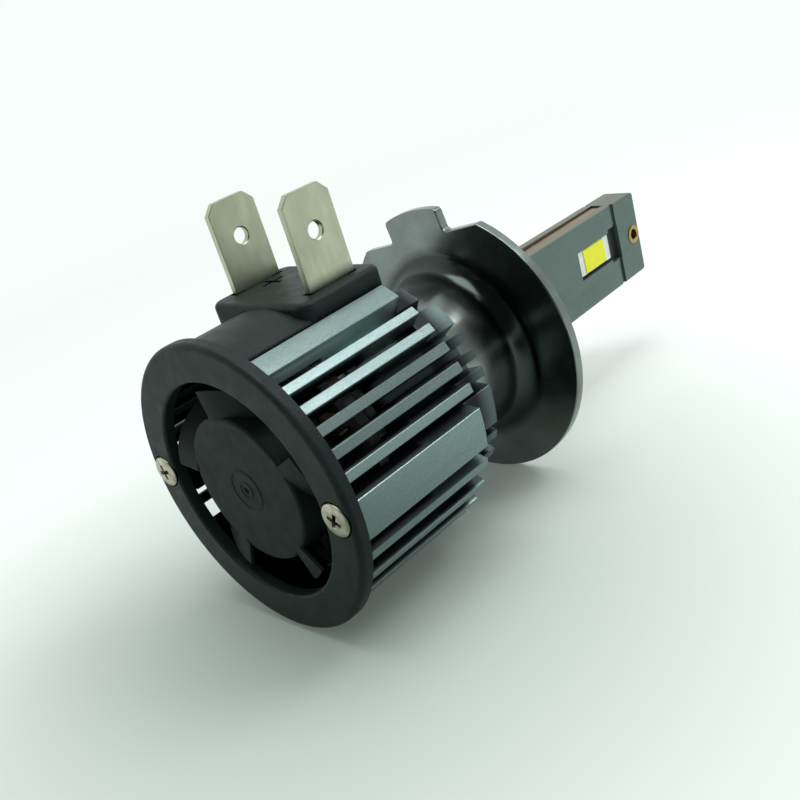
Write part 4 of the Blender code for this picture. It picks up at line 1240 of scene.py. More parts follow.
@dataclass
class HeatSink:
    """The finned aluminium body, bored for the fan."""

    front: float = -11.7
    fin_front: float = -16.15
    rear: float = -34.2
    core_rear: float = -24.5
    shelf_x: float = -27.15
    boss_front: float = -28.95
    rib_radius: float = 13.6
    fin_radius: float = 15.8
    fin_thick: float = 1.05
    core_radius: float = 11.5
    foot_radius: float = 11.2
    bore_radius: float = 13.9
    shelf_radius: float = 13.2
    boss_radius: float = 12.7
    spigot_radius: float = 7.6
    spigot_reach: float = 0.5
    edge: float = 0.07
    side_fins: int = 5
    side_first: float = 41.8
    side_pitch: float = 8.85
    lower_fins: int = 6
    lower_pitch: float = 11.7
    screw_land: float = 93.9
    screw_land_width: float = 4.56
    screw_land_slices: int = 12
    arm_land: float = -29.1
    arm_land_width: float = 2.5
    arm_land_slices: int = 8
    arm_land_front: float = -12.7
    land_smooth: float = 10.0
    bridge_steps: int = 6
    web_radius: float = 14.5
    web_fins: int = 5

    def side_view(self, boss: bool, front: float) -> list[Flat]:
        """The outline of a fin or land, seen from its side.

        Args:
            boss: whether it thickens inwards for a screw
            front: where it ends

        Returns:
            its (X, radius) points
        """
        rear = [(self.shelf_x, self.shelf_radius), (self.shelf_x, self.bore_radius)]
        if boss:
            rear += [(self.boss_front, self.bore_radius), (self.boss_front, self.boss_radius)]
        return [
            (self.rear, self.boss_radius if boss else self.bore_radius),
            (self.rear, self.fin_radius),
            (self.fin_front, self.fin_radius),
            (self.fin_front, self.rib_radius),
            (front, self.rib_radius),
            (front, self.foot_radius),
            (self.core_rear, self.foot_radius),
            (self.core_rear, self.shelf_radius),
        ] + rear

    def rib(
        self, name: str, width: float, front: float, slices: int = 1, boss: bool = False
    ) -> Piece:
        """One fin or land at the top of the sink, its top rounded to the turned radius.

        Args:
            name: the object's name
            width: its width across
            front: where it ends
            slices: steps across the width
            boss: whether it thickens inwards for a screw

        Returns:
            the rib
        """
        view = self.side_view(boss, front)
        piece = press(name, view, -width / 2, width / 2, Direction.Y, slices)
        edit(piece)
        low = self.rib_radius - MERGE_WITHIN
        for i in range(slices + 1):
            across = width * (i / slices - 0.5)
            drop = math.sqrt(self.fin_radius**2 - across**2) - self.fin_radius
            pick(piece, lambda at: abs(at.y - across) < MERGE_WITHIN and at.z > low)
            bpy.ops.transform.translate(value=(0.0, 0.0, drop))
        close_mesh()
        return soften(piece, self.edge)

    def shell(self, name: str, radii: Flat, angles: Flat, ends: Flat, steps: int) -> Piece:
        """A curved wall about the axis.

        Args:
            name: the object's name
            radii: its outer and inner radius
            angles: its first and last angle
            ends: where it begins and ends along X
            steps: how many edges its arcs have

        Returns:
            the wall
        """
        outline = arc(radii[0], *angles, steps) + arc(radii[1], *reversed(angles), steps)
        return smooth(soften(press(name, outline, *ends, Direction.X), self.edge))

    def bridge(self, side: Side) -> Piece:
        """The filled step in front of the first two fins of a side.

        Args:
            side: the side

        Returns:
            the step
        """
        first, second = self.side_first, self.side_first + self.side_pitch
        angles = (side.value * first, side.value * second)
        radii, ends = (self.rib_radius, self.foot_radius), (self.fin_front, self.front)
        return self.shell("bridge", radii, angles, ends, self.bridge_steps)

    def web(self) -> Piece:
        """The thin wall that closes the slots between the lower fins beside the fan, dark in the
        bore's painted shade.

        Returns:
            the wall
        """
        reach = self.web_fins * self.lower_pitch
        radii, ends = (self.web_radius, self.bore_radius), (self.rear, self.boss_front)
        return self.shell("web", radii, (180.0 - reach, 180.0 + reach), ends, SMALL_STEPS)

    def core(self) -> Piece:
        """The round core with the spigot that the collar sits on.

        Returns:
            the core
        """
        profile = [
            (self.core_rear, 0.0),
            (self.core_rear, self.core_radius),
            (self.front - self.edge, self.core_radius),
            (self.front, self.core_radius - self.edge),
            (self.front, self.spigot_radius),
            (self.spigot_reach, self.spigot_radius),
            (self.spigot_reach, 0.0),
        ]
        return smooth(turn("sink_fins", profile))

    def build(self) -> None:
        """Builds the heat sink and sets it on the frame."""
        sides = [self.side_first + i * self.side_pitch for i in range(self.side_fins)]
        lower = range(-self.lower_fins, self.lower_fins + 1)
        angles = sides + [-angle for angle in sides] + [180.0 + i * self.lower_pitch for i in lower]
        pieces = [self.core()]
        pieces += turned_copies(self.rib("fin", self.fin_thick, self.front), angles)
        wide, slices = self.screw_land_width, self.screw_land_slices
        lands = smooth(self.rib("screw_land", wide, self.front, slices, True), self.land_smooth)
        pieces += turned_copies(lands, [-self.screw_land, self.screw_land])
        wide, slices = self.arm_land_width, self.arm_land_slices
        arm = smooth(self.rib("arm_land", wide, self.arm_land_front, slices), self.land_smooth)
        pieces += turned_copies(arm, [self.arm_land])
        pieces += [self.bridge(side) for side in Side] + [self.web()]
        hand_in(settle(join(pieces), SINK_ROLL), Finishes.SINK, Body.STILL, "heat_sink")


@dataclass
class FanCover:
    """The moulded fan cover with its arm and terminal block."""

    front: float = -34.5
    rear: float = -36.0
    radius: float = 16.5
    opening: float = 12.36
    bore: float = 13.9
    lip: float = 1.4
    lip_round: float = 0.35
    rim_round: float = 0.6
    hold: float = 0.06
    arm_outer: float = 15.8
    arm_inner: float = 14.2
    arm_near: float = -25.27
    arm_far: float = 37.0
    arm_steps: int = 24
    arm_laps: Flat = (0.4, 0.6)
    arm_edge: float = 0.12
    block_rear: float = -26.2
    block_front: float = -15.0
    block_top: float = 16.2
    block_low: float = 6.2
    block_near: float = -6.745
    block_far: float = 9.51
    block_corner: float = 1.5
    block_edge: float = 0.65
    block_segments: int = 6
    seat: float = 11.8
    land_lean: float = -30.9
    fin_lean: float = 40.0
    tab_centre: float = -20.25
    tab_near: float = -4.47
    tab_far: float = 8.15
    recess_length: float = 6.9
    recess_width: float = 1.3
    recess_depth: float = 0.5
    screw_circle: float = 14.3
    screw_radius: float = 1.95
    screw_wall: float = 0.15
    screw_depth: float = 1.25
    screw_bottom: float = 0.95
    mark_size: float = 3.0
    mark_stroke: float = 0.5
    mark_depth: float = 0.25
    mark_at: Flat = (-19.9, 5.7)

    def countersink(self) -> Piece:
        """The cutter of a screw's countersink, on the axis.

        Returns:
            the cutter
        """
        out, bottom = self.rear - CUT_PAST, self.rear + self.screw_depth
        profile = [(out, 0.0), (out, self.screw_radius)]
        profile += [(self.rear + self.screw_wall, self.screw_radius)]
        profile += [(bottom, self.screw_bottom), (bottom, 0.0)]
        return turn("countersink", profile, SMALL_STEPS)

    def ring(self) -> Piece:
        """The ring over the fan, with the countersinks for its screws.

        Returns:
            the ring
        """
        lip_front = self.rear + self.lip
        profile = [(self.front, self.bore), (lip_front, self.bore), (lip_front, self.opening)]
        profile += [(self.rear + self.lip_round + self.hold, self.opening)]
        lip_centre = (self.rear + self.lip_round, self.opening + self.lip_round)
        profile += quarter(lip_centre, self.lip_round, 270, 180)
        profile += [(self.rear, lip_centre[1] + self.hold)]
        rim_centre = (self.rear + self.rim_round, self.radius - self.rim_round)
        profile += [(self.rear, rim_centre[1] - self.hold)]
        profile += quarter(rim_centre, self.rim_round, 180, 90)
        profile += [(rim_centre[0] + self.hold, self.radius), (self.front, self.radius)]
        ring = turn("cover_moulding", profile)
        pattern = self.countersink()
        lean = math.radians(SINK_ROLL)
        sinks = []
        for side in Side:
            y = side.value * self.screw_circle
            place = (0.0, y * math.cos(lean), y * math.sin(lean))
            sinks.append(put(own_copy(pattern), place))
        bpy.data.objects.remove(pattern)
        return smooth(cut_away(ring, sinks))

    def arm(self) -> Piece:
        """The curved arm from the ring to the block.

        Returns:
            the arm
        """
        outline = arc(self.arm_outer, self.arm_near, self.arm_far, self.arm_steps)
        outline += arc(self.arm_inner, self.arm_far, self.arm_near, self.arm_steps)
        start, stop = self.front - self.arm_laps[0], self.block_rear + self.arm_laps[1]
        return smooth(soften(press("cover_arm", outline, start, stop, Direction.X), self.arm_edge))

    def block(self) -> Piece:
        """The terminal block: a rounded slab seated on the sink's core between two fins.

        Returns:
            the block
        """
        corners = ((self.block_rear, self.block_front), (self.block_near, self.block_far))
        outline = rounded_rectangle(*corners, self.block_corner)
        slab = press("terminal_block", outline, self.block_low, self.block_top, Direction.Z)
        edit(slab)
        pick(slab, lambda at: at.z > self.block_top - MERGE_WITHIN)
        bpy.ops.mesh.bevel(offset=self.block_edge, segments=self.block_segments, affect="EDGES")
        for lean, edge, side in (
            (self.land_lean, self.arm_near, Side.NEAR),
            (self.fin_lean, self.arm_far, Side.FAR),
        ):
            slope, sign = math.radians(lean), side.value
            bpy.ops.mesh.select_all(action="SELECT")
            bpy.ops.mesh.bisect(
                plane_co=(0.0, *polar(self.arm_outer, edge)),
                plane_no=(0.0, sign * math.cos(slope), -sign * math.sin(slope)),
                use_fill=True,
                clear_outer=True,
            )
        close_mesh()
        ends = (self.block_rear - CUT_PAST, self.block_front + CUT_PAST)
        tools = [rod("core_room", self.seat, *ends), self.mark()]
        half, wide = self.recess_length / 2, self.recess_width / 2
        for y in (self.tab_near, self.tab_far):
            low = (self.tab_centre - half, y - wide, self.block_top - self.recess_depth)
            high = (self.tab_centre + half, y + wide, self.block_top + CUT_PAST)
            tools.append(box("tab_recess", low, high))
        return smooth(cut_away(slab, tools))

    def mark(self) -> Piece:
        """The cutter of the plus sign beside the far terminal.

        Returns:
            the cutter
        """
        long, thin = self.mark_size / 2, self.mark_stroke / 2
        x, y = self.mark_at
        outline = [(long, -thin), (long, thin), (thin, thin)]
        outline += [(thin, long), (-thin, long), (-thin, thin)]
        outline += [(-a, -b) for a, b in outline]
        placed = [(x + a, y + b) for a, b in outline]
        low, high = self.block_top - self.mark_depth, self.block_top + CUT_PAST
        return press("plus_mark", placed, low, high, Direction.Z)

    def build(self) -> None:
        """Builds the cover and sets it on the frame."""
        piece = settle(join([self.ring(), self.arm(), self.block()]))
        hand_in(piece, Finishes.COVER, Body.STILL, "fan_cover")


@dataclass
class CoverScrews:
    """The two cross-head screws of the fan cover."""

    face: float = -36.0
    circle: float = 14.3
    head_radius: float = 1.8
    crown: float = 0.3
    crown_shares: tuple[float, ...] = (0.3, 0.55, 0.75, 0.9)
    crown_fall: float = 0.55
    rim_height: float = 0.1
    rim_inset: float = 0.04
    cone_depth: float = 1.1
    shank_radius: float = 0.8
    end: float = -29.8
    cross_length: float = 2.3
    cross_width: float = 0.58
    cross_depth: float = 0.8
    cross_above: float = 0.5
    cross_taper: float = 0.45
    edge: float = 0.04
    edge_sharper: float = 55.0
    driven_near: float = 24.0
    driven_far: float = -12.0

    def screw(self) -> Piece:
        """One screw on the axis, with its cross recess.

        Returns:
            the screw
        """
        top = self.face - self.crown
        profile = [(top, 0.0)]
        for share in self.crown_shares:
            height = self.crown * (1 - share**3 * self.crown_fall)
            profile.append((self.face - height, self.head_radius * share))
        profile += [
            (self.face - self.rim_height, self.head_radius - self.rim_inset),
            (self.face, self.head_radius),
            (self.face + self.cone_depth, self.shank_radius),
            (self.end, self.shank_radius),
            (self.end, 0.0),
        ]
        piece = turn("screw_head", profile, SMALL_STEPS)
        start, floor = top - self.cross_above, top + self.cross_depth
        sizes = (self.cross_length / 2, self.cross_width / 2)
        taper = (1.0, self.cross_taper, self.cross_taper)
        arms = []
        for y, z in (sizes, sizes[::-1]):
            arm = box("cross_arm", (start, -y, -z), (floor, y, z))
            edit(arm)
            pick(arm, lambda at: at.x > floor - MERGE_WITHIN)
            bpy.ops.transform.resize(value=taper, center_override=(floor, 0.0, 0.0))
            close_mesh()
            arms.append(arm)
        return smooth(soften(cut_away(piece, arms), self.edge, 1, self.edge_sharper))

    def build(self) -> None:
        """Builds both screws, each turned as it was driven, and sets them on the frame."""
        pattern = self.screw()
        for side, angle in ((Side.NEAR, self.driven_near), (Side.FAR, self.driven_far)):
            place = (0.0, side.value * self.circle, 0.0)
            piece = put(own_copy(pattern), place, (angle, 0.0, 0.0))
            piece.name = f"screw_{side.word}"
            settle(piece, SINK_ROLL)
            hand_in(piece, Finishes.SCREW, Body.STILL, f"cover_screw_{side.word}")
        bpy.data.objects.remove(pattern)


@dataclass
class Terminals:
    """The two spade terminals."""

    width: float = 6.3
    thick: float = 0.8
    top: float = 26.0
    foot: float = 16.15
    chamfer: float = 1.1
    edge: float = 0.13
    edge_segments: int = 2
    hole: float = 0.9
    hole_drop: float = 4.3
    hole_coin: float = 0.12
    punch_reach: float = 0.5
    tang_width: float = 4.0
    tang_end: float = 12.6
    centre: float = -20.25
    near_y: float = -4.47
    far_y: float = 8.15

    def spade(self) -> Piece:
        """One terminal at Y = 0: a chamfered blade with a coined edge, a hole and a tang.

        Returns:
            the terminal
        """
        left, right = self.centre - self.width / 2, self.centre + self.width / 2
        tang = (self.centre - self.tang_width / 2, self.centre + self.tang_width / 2)
        outline = [
            (tang[0], self.tang_end),
            (tang[1], self.tang_end),
            (tang[1], self.foot),
            (right, self.foot),
            (right, self.top - self.chamfer),
            (right - self.chamfer, self.top),
            (left + self.chamfer, self.top),
            (left, self.top - self.chamfer),
            (left, self.foot),
            (tang[0], self.foot),
        ]
        half = self.thick / 2
        blade = press("spade", outline, -half, half, Direction.Y)
        soften(blade, self.edge, self.edge_segments)
        end, coin = half + self.punch_reach, half - self.hole_coin
        wide = self.hole + self.hole_coin + self.punch_reach
        profile = [(-end, 0.0), (-end, wide), (-coin, self.hole)]
        profile += [(coin, self.hole), (end, wide), (end, 0.0)]
        punch = turn("punch", profile, SMALL_STEPS)
        put_across(punch, self.centre, self.top - self.hole_drop)
        return smooth(cut_away(blade, [punch]), CRISP)

    def build(self) -> None:
        """Builds both terminals and sets them on the frame."""
        pattern = self.spade()
        for side, y in ((Side.NEAR, self.near_y), (Side.FAR, self.far_y)):
            piece = put(own_copy(pattern), (0.0, y, 0.0))
            piece.name = f"spade_{side.word}"
            hand_in(settle(piece), Finishes.TAB, Body.STILL, f"terminal_{side.word}")
        bpy.data.objects.remove(pattern)


@dataclass
class Impeller:
    """The fan's hub and blades, which turn with the rotor."""

    rear: float = -35.45
    front: float = -29.25
    radius: float = 8.28
    wall: float = 0.9
    round: float = 0.35
    hold: float = 0.05
    ring_radius: float = 2.3
    inner_ring_radius: float = 0.95
    ring_width: float = 0.12
    ring_height: float = 0.07
    dimple: float = 0.42
    dimple_depth: float = 0.22
    dimple_slope: Flat = (0.16, 0.7)
    blades: int = 5
    first: float = 10.0
    sweep: float = 48.0
    steps: int = 14
    tip: float = 11.3
    sink: float = 0.3
    length: float = 4.9
    inset: float = 0.1
    thick: float = 0.45
    blade_edge: float = 0.08
    blade_segments: int = 2
    blade_sharper: float = 50.0

    def hub(self) -> Piece:
        """The hub cup with two fine raised rings and a dimple on its face.

        Returns:
            the hub
        """
        face = self.rear
        half = self.ring_width / 2
        depth, share = self.dimple_slope
        profile = [(face + self.dimple_depth, 0.0)]
        profile += [(face + depth, self.dimple * share), (face, self.dimple)]
        for radius in (self.inner_ring_radius, self.ring_radius):
            profile += [
                (face, radius - 2 * half),
                (face - self.ring_height, radius - half),
                (face - self.ring_height, radius + half),
                (face, radius + 2 * half),
            ]
        corner = (face + self.round, self.radius - self.round)
        profile += [(face, corner[1] - self.hold)]
        profile += quarter(corner, self.round, 180, 90)
        profile += [
            (corner[0] + self.hold, self.radius),
            (self.front, self.radius),
            (self.front, self.radius - self.wall),
            (face + self.wall, self.radius - self.wall),
            (face + self.wall, 0.0),
        ]
        return smooth(turn("impeller_moulding", profile), CRISP)

    def blade(self) -> Piece:
        """One cambered blade at the top: a swept line drawn out to the tip and given its thickness.

        Returns:
            the blade
        """
        root = self.radius - self.sink
        chain = []
        for i in range(self.steps + 1):
            share = i / self.steps
            x = self.rear + self.inset + self.length * share**2
            chain.append((x, *polar(root, -self.sweep * share)))
        piece = draw_chain("blade", chain)
        bpy.ops.mesh.extrude_edges_move()
        grow = self.tip / root
        bpy.ops.transform.resize(value=(1.0, grow, grow), center_override=(0.0, 0.0, 0.0))
        close_mesh()
        shape(piece, Shaper.THICKEN, thickness=self.thick, offset=0.0)
        return smooth(soften(piece, self.blade_edge, self.blade_segments, self.blade_sharper))

    def build(self) -> None:
        """Builds the impeller and sets it on the fan's rotor."""
        angles = [self.first + i * 360.0 / self.blades for i in range(self.blades)]
        piece = settle(join([self.hub()] + turned_copies(self.blade(), angles)))
        hand_in(piece, Finishes.FAN, Body.FAN, "impeller")


@dataclass
class Stick:
    """The LED stick: two metal faces on a copper carrier, an LED on each side and an eyelet."""

    rear: float = 0.8
    length: float = 36.75
    root_height: float = 12.0
    tip_height: float = 11.4
    outer: float = 2.2
    inner: float = 0.9
    seam: float = 0.02
    corner: float = 0.5
    edge: float = 0.16
    edge_segments: int = 2
    cut_half: float = 9.0
    tip_block: float = 31.15
    groove: Flat = (30.8, 31.7)
    groove_depth: float = 0.3
    notch_end: float = 31.8
    notch_lap: float = 0.05
    notch: Flat = (-2.0, 2.8)
    notch_depth: float = 1.0
    led_x: float = 25.8
    led_z: float = 0.55
    led_size: Flat = (7.2, 3.4)
    led_face: float = 2.0
    led_edge: float = 0.05
    dam: float = 0.09
    dam_height: float = 0.06
    facing: float = 0.99
    window_fit: float = 0.15
    window_below: float = 0.45
    tile_size: Flat = (4.8, 3.2)
    tile_ends: Flat = (1.85, 2.08)
    tile_corner: float = 0.12
    tile_steps: int = 4
    tile_edge: float = 0.07
    tile_segments: int = 3
    hole_x: float = 35.3
    hole: float = 1.1
    drill_half: float = 4.0
    carrier_rear: float = -22.0
    carrier_gap: float = 0.15
    carrier: Flat = (-0.9, 0.8)
    carrier_half: float = 5.5
    carrier_edge: float = 0.06
    eyelet_bore: float = 0.7
    eyelet_shank: float = 0.95
    eyelet_head: float = 1.25
    eyelet_face: float = 2.35
    eyelet_gap: float = 0.02
    eyelet_under: float = 0.03
    eyelet_rim: Flat = (0.06, 0.1)
    eyelet_mouth: Flat = (0.12, 0.1)

    def plate(self, side: Side) -> Piece:
        """One metal face with its LED window, groove, notch and eyelet hole.

        Args:
            side: the side that it is on

        Returns:
            the face
        """
        sign = side.value
        root, tip = self.root_height / 2, self.tip_height / 2
        end = self.length - self.corner
        outline = [(self.rear, root), (self.rear, -root)]
        outline += quarter((end, -tip + self.corner), self.corner, -90, 0)
        outline += quarter((end, tip - self.corner), self.corner, 0, 90)
        depths = (sign * self.outer, sign * self.seam)
        plate = press(f"plate_{side.word}", outline, *depths, Direction.Y)
        edit(plate)
        pick(plate, lambda at: abs(at.y) > self.outer - MERGE_WITHIN)
        bpy.ops.mesh.bevel(offset=self.edge, segments=self.edge_segments, affect="EDGES")
        close_mesh()
        tools = [box("plate_cut", low, high) for low, high in self.plate_cuts(sign)]
        drill = rod("drill", self.hole, -self.drill_half, self.drill_half, SMALL_STEPS)
        return smooth(cut_away(plate, tools + [put_across(drill, self.hole_x)]), CRISP)

    def plate_cuts(self, sign: int) -> list[tuple[Point, Point]]:
        """The corners of the cutters of a face.

        Args:
            sign: the sign of the face's Y

        Returns:
            two corners each for the carrier's room, the LED window, the groove and the notch
        """
        long, tall = self.led_size[0] / 2 + self.window_fit, self.led_size[1] / 2
        tall_end, over = self.cut_half, sign * (self.outer + CUT_PAST)
        bottom = self.led_z - tall - self.window_below
        room = (self.rear - CUT_PAST, -sign * CUT_PAST, -tall_end)
        window = (self.led_x - long, 0.0, bottom)
        groove = (self.groove[0], sign * (self.outer - self.groove_depth), -tall_end)
        notch_start = self.led_x + long - self.notch_lap
        notch = (notch_start, sign * (self.outer - self.notch_depth), self.notch[0])
        return [
            (room, (self.tip_block, sign * self.inner, tall_end)),
            (window, (self.led_x + long, over, self.led_z + tall + self.window_fit)),
            (groove, (self.groove[1], over, tall_end)),
            (notch, (self.notch_end, over, self.notch[1])),
        ]

    def package(self, side: Side) -> Piece:
        """The white LED package with a low dam round its face.

        Args:
            side: the side that it is on

        Returns:
            the package
        """
        sign = side.value
        long, tall = self.led_size[0] / 2, self.led_size[1] / 2
        low = (self.led_x - long, sign * self.inner, self.led_z - tall)
        high = (self.led_x + long, sign * self.led_face, self.led_z + tall)
        piece = soften(box(f"led_package_{side.word}", low, high), self.led_edge, 2)
        edit(piece)
        bpy.ops.mesh.select_mode(type="FACE")
        mesh = bmesh.from_edit_mesh(piece.data)
        for face in mesh.faces:
            face.select = face.normal.y * sign > self.facing
        bmesh.update_edit_mesh(piece.data)
        bpy.ops.mesh.inset(thickness=self.dam)
        bpy.ops.transform.translate(value=(0.0, -sign * self.dam_height, 0.0))
        bpy.ops.mesh.select_mode(type="VERT")
        close_mesh()
        return piece

    def tile(self, side: Side) -> Piece:
        """The yellow phosphor tile with softened edges.

        Args:
            side: the side that it is on

        Returns:
            the tile
        """
        long, tall = self.tile_size[0] / 2, self.tile_size[1] / 2
        limits = ((self.led_x - long, self.led_x + long), (self.led_z - tall, self.led_z + tall))
        outline = rounded_rectangle(*limits, self.tile_corner, self.tile_steps)
        ends = [side.value * end for end in self.tile_ends]
        piece = press(f"phosphor_tile_{side.word}", outline, *ends, Direction.Y)
        return smooth(soften(piece, self.tile_edge, self.tile_segments))

    def strip(self) -> Piece:
        """The copper carrier between the faces.

        Returns:
            the carrier
        """
        low = (self.carrier_rear, self.carrier[0], -self.carrier_half)
        high = (self.tip_block - self.carrier_gap, self.carrier[1], self.carrier_half)
        return soften(box("carrier_strip", low, high), self.carrier_edge, 2)

    def eyelet(self) -> Piece:
        """The hollow brass eyelet through the tip.

        Returns:
            the eyelet
        """
        face, plate = self.eyelet_face, self.outer + self.eyelet_gap
        half = [
            (plate, self.eyelet_shank),
            (plate, self.eyelet_head - self.eyelet_under),
            (face - self.eyelet_rim[0], self.eyelet_head),
            (face, self.eyelet_head - self.eyelet_rim[1]),
            (face, self.eyelet_bore + self.eyelet_mouth[0]),
            (face - self.eyelet_mouth[1], self.eyelet_bore),
        ]
        profile = [(-x, r) for x, r in reversed(half)] + half
        return smooth(put_across(turn("eyelet", profile, SMALL_STEPS), self.hole_x))

    def build(self) -> None:
        """Builds the stick and sets it on the frame."""
        for side in Side:
            for make, finish, name in (
                (self.plate, Finishes.PLATE, "side_plate"),
                (self.package, Finishes.CERAMIC, "led"),
                (self.tile, Finishes.PHOSPHOR, "phosphor"),
            ):
                piece = settle(make(side), SINK_ROLL)
                hand_in(piece, finish, Body.STILL, f"{name}_{side.word}")
        hand_in(settle(self.strip(), SINK_ROLL), Finishes.COPPER, Body.STILL, "led_carrier")
        hand_in(settle(self.eyelet(), SINK_ROLL), Finishes.BRASS, Body.STILL, "tip_rivet")


@dataclass(frozen=True)
class Lamp:
    """A square soft lamp.

    Attributes:
        name: its name
        at: its place in metres
        size: its side in metres
        power: its power in watts
        aim: the place in metres that it points at
    """

    name: str
    at: Point
    size: float
    power: float
    aim: Point = (-0.005, 0.0, 0.0)

    def build(self) -> None:
        """Hangs the lamp."""
        data = bpy.data.lights.new(self.name, "AREA")
        data.size = self.size
        data.energy = self.power
        lamp = bpy.data.objects.new(self.name, data)
        bpy.context.scene.collection.objects.link(lamp)
        lamp.location = self.at
        towards = Vector(self.aim) - Vector(self.at)
        lamp.rotation_euler = towards.to_track_quat("-Z", "Y").to_euler()


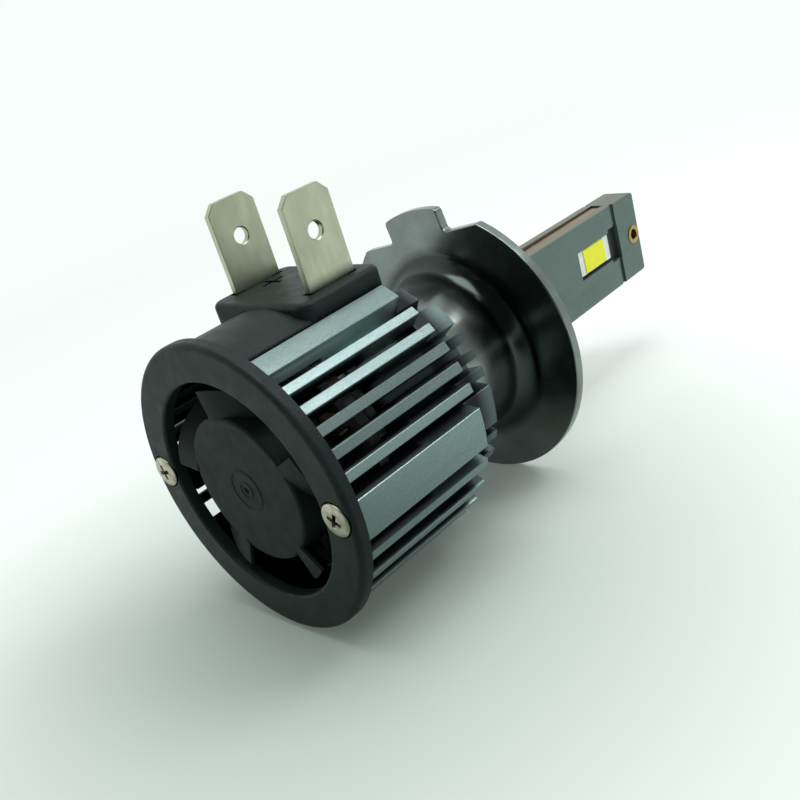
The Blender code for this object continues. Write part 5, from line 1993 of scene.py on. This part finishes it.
@dataclass
class Studio:
    """The pale floor, the soft light and the camera."""

    floor_level: float = -16.85
    floor_side: float = 8.0
    floor_rough: float = 0.7
    floor_specular: float = 0.1
    pale: Colour = (0.93, 0.985, 0.96)
    # A painted shadow on the floor round the fan's end.
    floor_shadow: Colour = (0.455, 0.55, 0.495)
    floor_shadow_at: Flat = (-32.0, -2.0)
    floor_shadow_span: Flat = (0.0, 80.0)
    glow_at: Flat = (0.0, 0.0)
    glow_span: Flat = (60.0, 300.0)
    glow_share: Flat = (0.14, 1.0)
    ambient: float = 0.47
    dark: Colour = (0.05, 0.06, 0.058)
    dark_side: Point = (-0.6, -0.7, 0.38)
    dark_span: Flat = (-0.1, 0.65)
    gloom_at: Flat = (-90.0, -90.0)
    gloom_span: Flat = (60.0, 110.0)
    camera_at: Point = (-79.884, -81.785, 40.779)
    right: Point = (0.662, -0.6921, -0.2878)
    down: Point = (-0.4637, -0.0765, -0.8827)
    forward: Point = (0.5889, 0.7178, -0.3716)
    focal_pixels: float = 992.446
    image_pixels: float = 800.0
    sensor: float = 36.0
    nearest: float = 1.0
    lamps: tuple[Lamp, ...] = (
        Lamp("window", (0.2365, -0.2475, 0.429), 0.22, 0.95),
        Lamp("overhead", (0.02, -0.03, 0.56), 0.38, 1.75),
    )

    def camera(self) -> None:
        """The camera at the photograph's place and angle."""
        data = bpy.data.cameras.new("camera")
        data.sensor_width = self.sensor
        data.lens = self.focal_pixels / self.image_pixels * self.sensor
        data.clip_start = self.nearest * MM
        camera = bpy.data.objects.new("camera", data)
        bpy.context.scene.collection.objects.link(camera)
        columns = [Vector(self.right), -Vector(self.down), -Vector(self.forward)]
        turned = Matrix(columns).transposed().to_4x4()
        camera.matrix_world = Matrix.Translation(Vector(self.camera_at) * MM) @ turned
        bpy.context.scene.camera = camera

    def seen(self, tree: Tree) -> Socket:
        """Tells the rays that show the backdrop: from the camera, a reflection or glass.

        Args:
            tree: the backdrop's node tree

        Returns:
            1 for these rays and 0 for others
        """
        ray = node(tree, "LightPath", {}).outputs
        shown = bring(tree, Sum.GREATER, ray["Is Camera Ray"], ray["Is Glossy Ray"])
        return bring(tree, Sum.GREATER, shown, ray["Is Transmission Ray"])

    def mirrored(self, tree: Tree, share: Socket) -> Socket:
        """A share that only reflections see."""
        ray = node(tree, "LightPath", {}).outputs["Is Glossy Ray"]
        return bring(tree, Sum.PRODUCT, ray, share)

    def ramp(self, tree: Tree, value: Socket, span: Flat, ends: Flat = (0.0, 1.0)) -> Socket:
        """A value that follows another smoothly.

        Args:
            tree: the node tree
            value: the value that it follows
            span: that value's limits
            ends: the result at these limits

        Returns:
            the result
        """
        inputs = {"Value": value, "From Min": span[0], "From Max": span[1]}
        inputs |= {"To Min": ends[0], "To Max": ends[1]}
        return node(tree, "MapRange", inputs, interpolation_type="SMOOTHSTEP").outputs["Result"]

    def distance(self, tree: Tree, centre: Flat, span: Flat, ends: Flat = (0.0, 1.0)) -> Socket:
        """A value that changes with the distance over the floor from a point.

        Args:
            tree: the floor's node tree
            centre: the point's (X, Y)
            span: the distances between which the value changes
            ends: the values at these distances

        Returns:
            the value
        """
        where = node(tree, "TexCoord", {}).outputs["Object"]
        point = (centre[0] * MM, centre[1] * MM, self.floor_level * MM)
        away = node(tree, "VectorMath", {0: where, 1: point}, operation="DISTANCE").outputs["Value"]
        return self.ramp(tree, away, (span[0] * MM, span[1] * MM), ends)

    def world(self) -> None:
        """A white backdrop, dimmer as light than as sight, whose near side reflects dark."""
        world = bpy.data.worlds.new("studio")
        world.use_nodes = True
        bpy.context.scene.world = world
        tree = world.node_tree
        where = node(tree, "TexCoord", {}).outputs["Generated"]
        facing = node(tree, "VectorMath", {0: where, 1: self.dark_side}, operation="DOT_PRODUCT")
        dark = self.mirrored(tree, self.ramp(tree, facing.outputs["Value"], self.dark_span))
        level = {"Value": self.seen(tree), "To Min": self.ambient, "To Max": 1.0}
        light = tree.nodes["Background"]
        tree.links.new(tones(tree, dark, self.pale, self.dark), light.inputs["Color"])
        tree.links.new(node(tree, "MapRange", level).outputs["Result"], light.inputs["Strength"])

    def floor(self) -> None:
        """The pale floor: it keeps the rendered shadow, carries a painted shadow round the fan's
        end and melts into the backdrop.
        """
        bpy.ops.object.select_all(action="DESELECT")
        level = (0.0, 0.0, self.floor_level * MM)
        bpy.ops.mesh.primitive_plane_add(size=self.floor_side, location=level)
        floor = bpy.context.active_object
        floor.name = "floor"
        bpy.ops.object.transform_apply(location=True, rotation=True, scale=True)
        made = bpy.data.materials.new("pale_floor")
        made.use_nodes = True
        tree = made.node_tree
        shader = tree.nodes["Principled BSDF"]
        shader.inputs["Roughness"].default_value = self.floor_rough
        shader.inputs["Specular IOR Level"].default_value = self.floor_specular
        # The floor's colour darkens into a painted shadow round the fan's end.
        tone = tones(tree, self.distance(tree, self.floor_shadow_at, self.floor_shadow_span), self.floor_shadow, self.pale)
        tree.links.new(tone, shader.inputs["Base Color"])
        glow = node(tree, "Emission", {"Color": tone}).outputs["Emission"]
        gloom = node(tree, "Emission", {"Color": (*self.dark, 1.0)}).outputs["Emission"]
        far = self.distance(tree, self.glow_at, self.glow_span, self.glow_share)
        share = bring(tree, Sum.PRODUCT, self.seen(tree), far)
        lit = node(tree, "MixShader", {"Fac": share, 1: shader.outputs["BSDF"], 2: glow})
        near = self.mirrored(tree, self.distance(tree, self.gloom_at, self.gloom_span, (1.0, 0.0)))
        last = node(tree, "MixShader", {"Fac": near, 1: lit.outputs["Shader"], 2: gloom})
        tree.links.new(last.outputs["Shader"], tree.nodes["Material Output"].inputs["Surface"])
        floor.data.materials.append(made)

    def build(self) -> None:
        """Sets the stage."""
        self.camera()
        self.world()
        self.floor()
        for lamp in self.lamps:
            lamp.build()
        bpy.context.scene.view_settings.view_transform = "Standard"


def main() -> None:
    """Builds the bulb's looks in order."""
    logging.basicConfig(level=logging.INFO, format="%(message)s")
    assemblies = (Collar, HeatSink, FanCover, CoverScrews, Terminals, Impeller, Stick)
    for assembly in assemblies:
        assembly().build()
    for finish, names in KEPT_NODES.items():
        for name in names:
            dress(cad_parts[name], finish)
            LOG.info("%s: %s", name, finish.name)
    Studio().build()


if __name__ == "__main__":
    main()
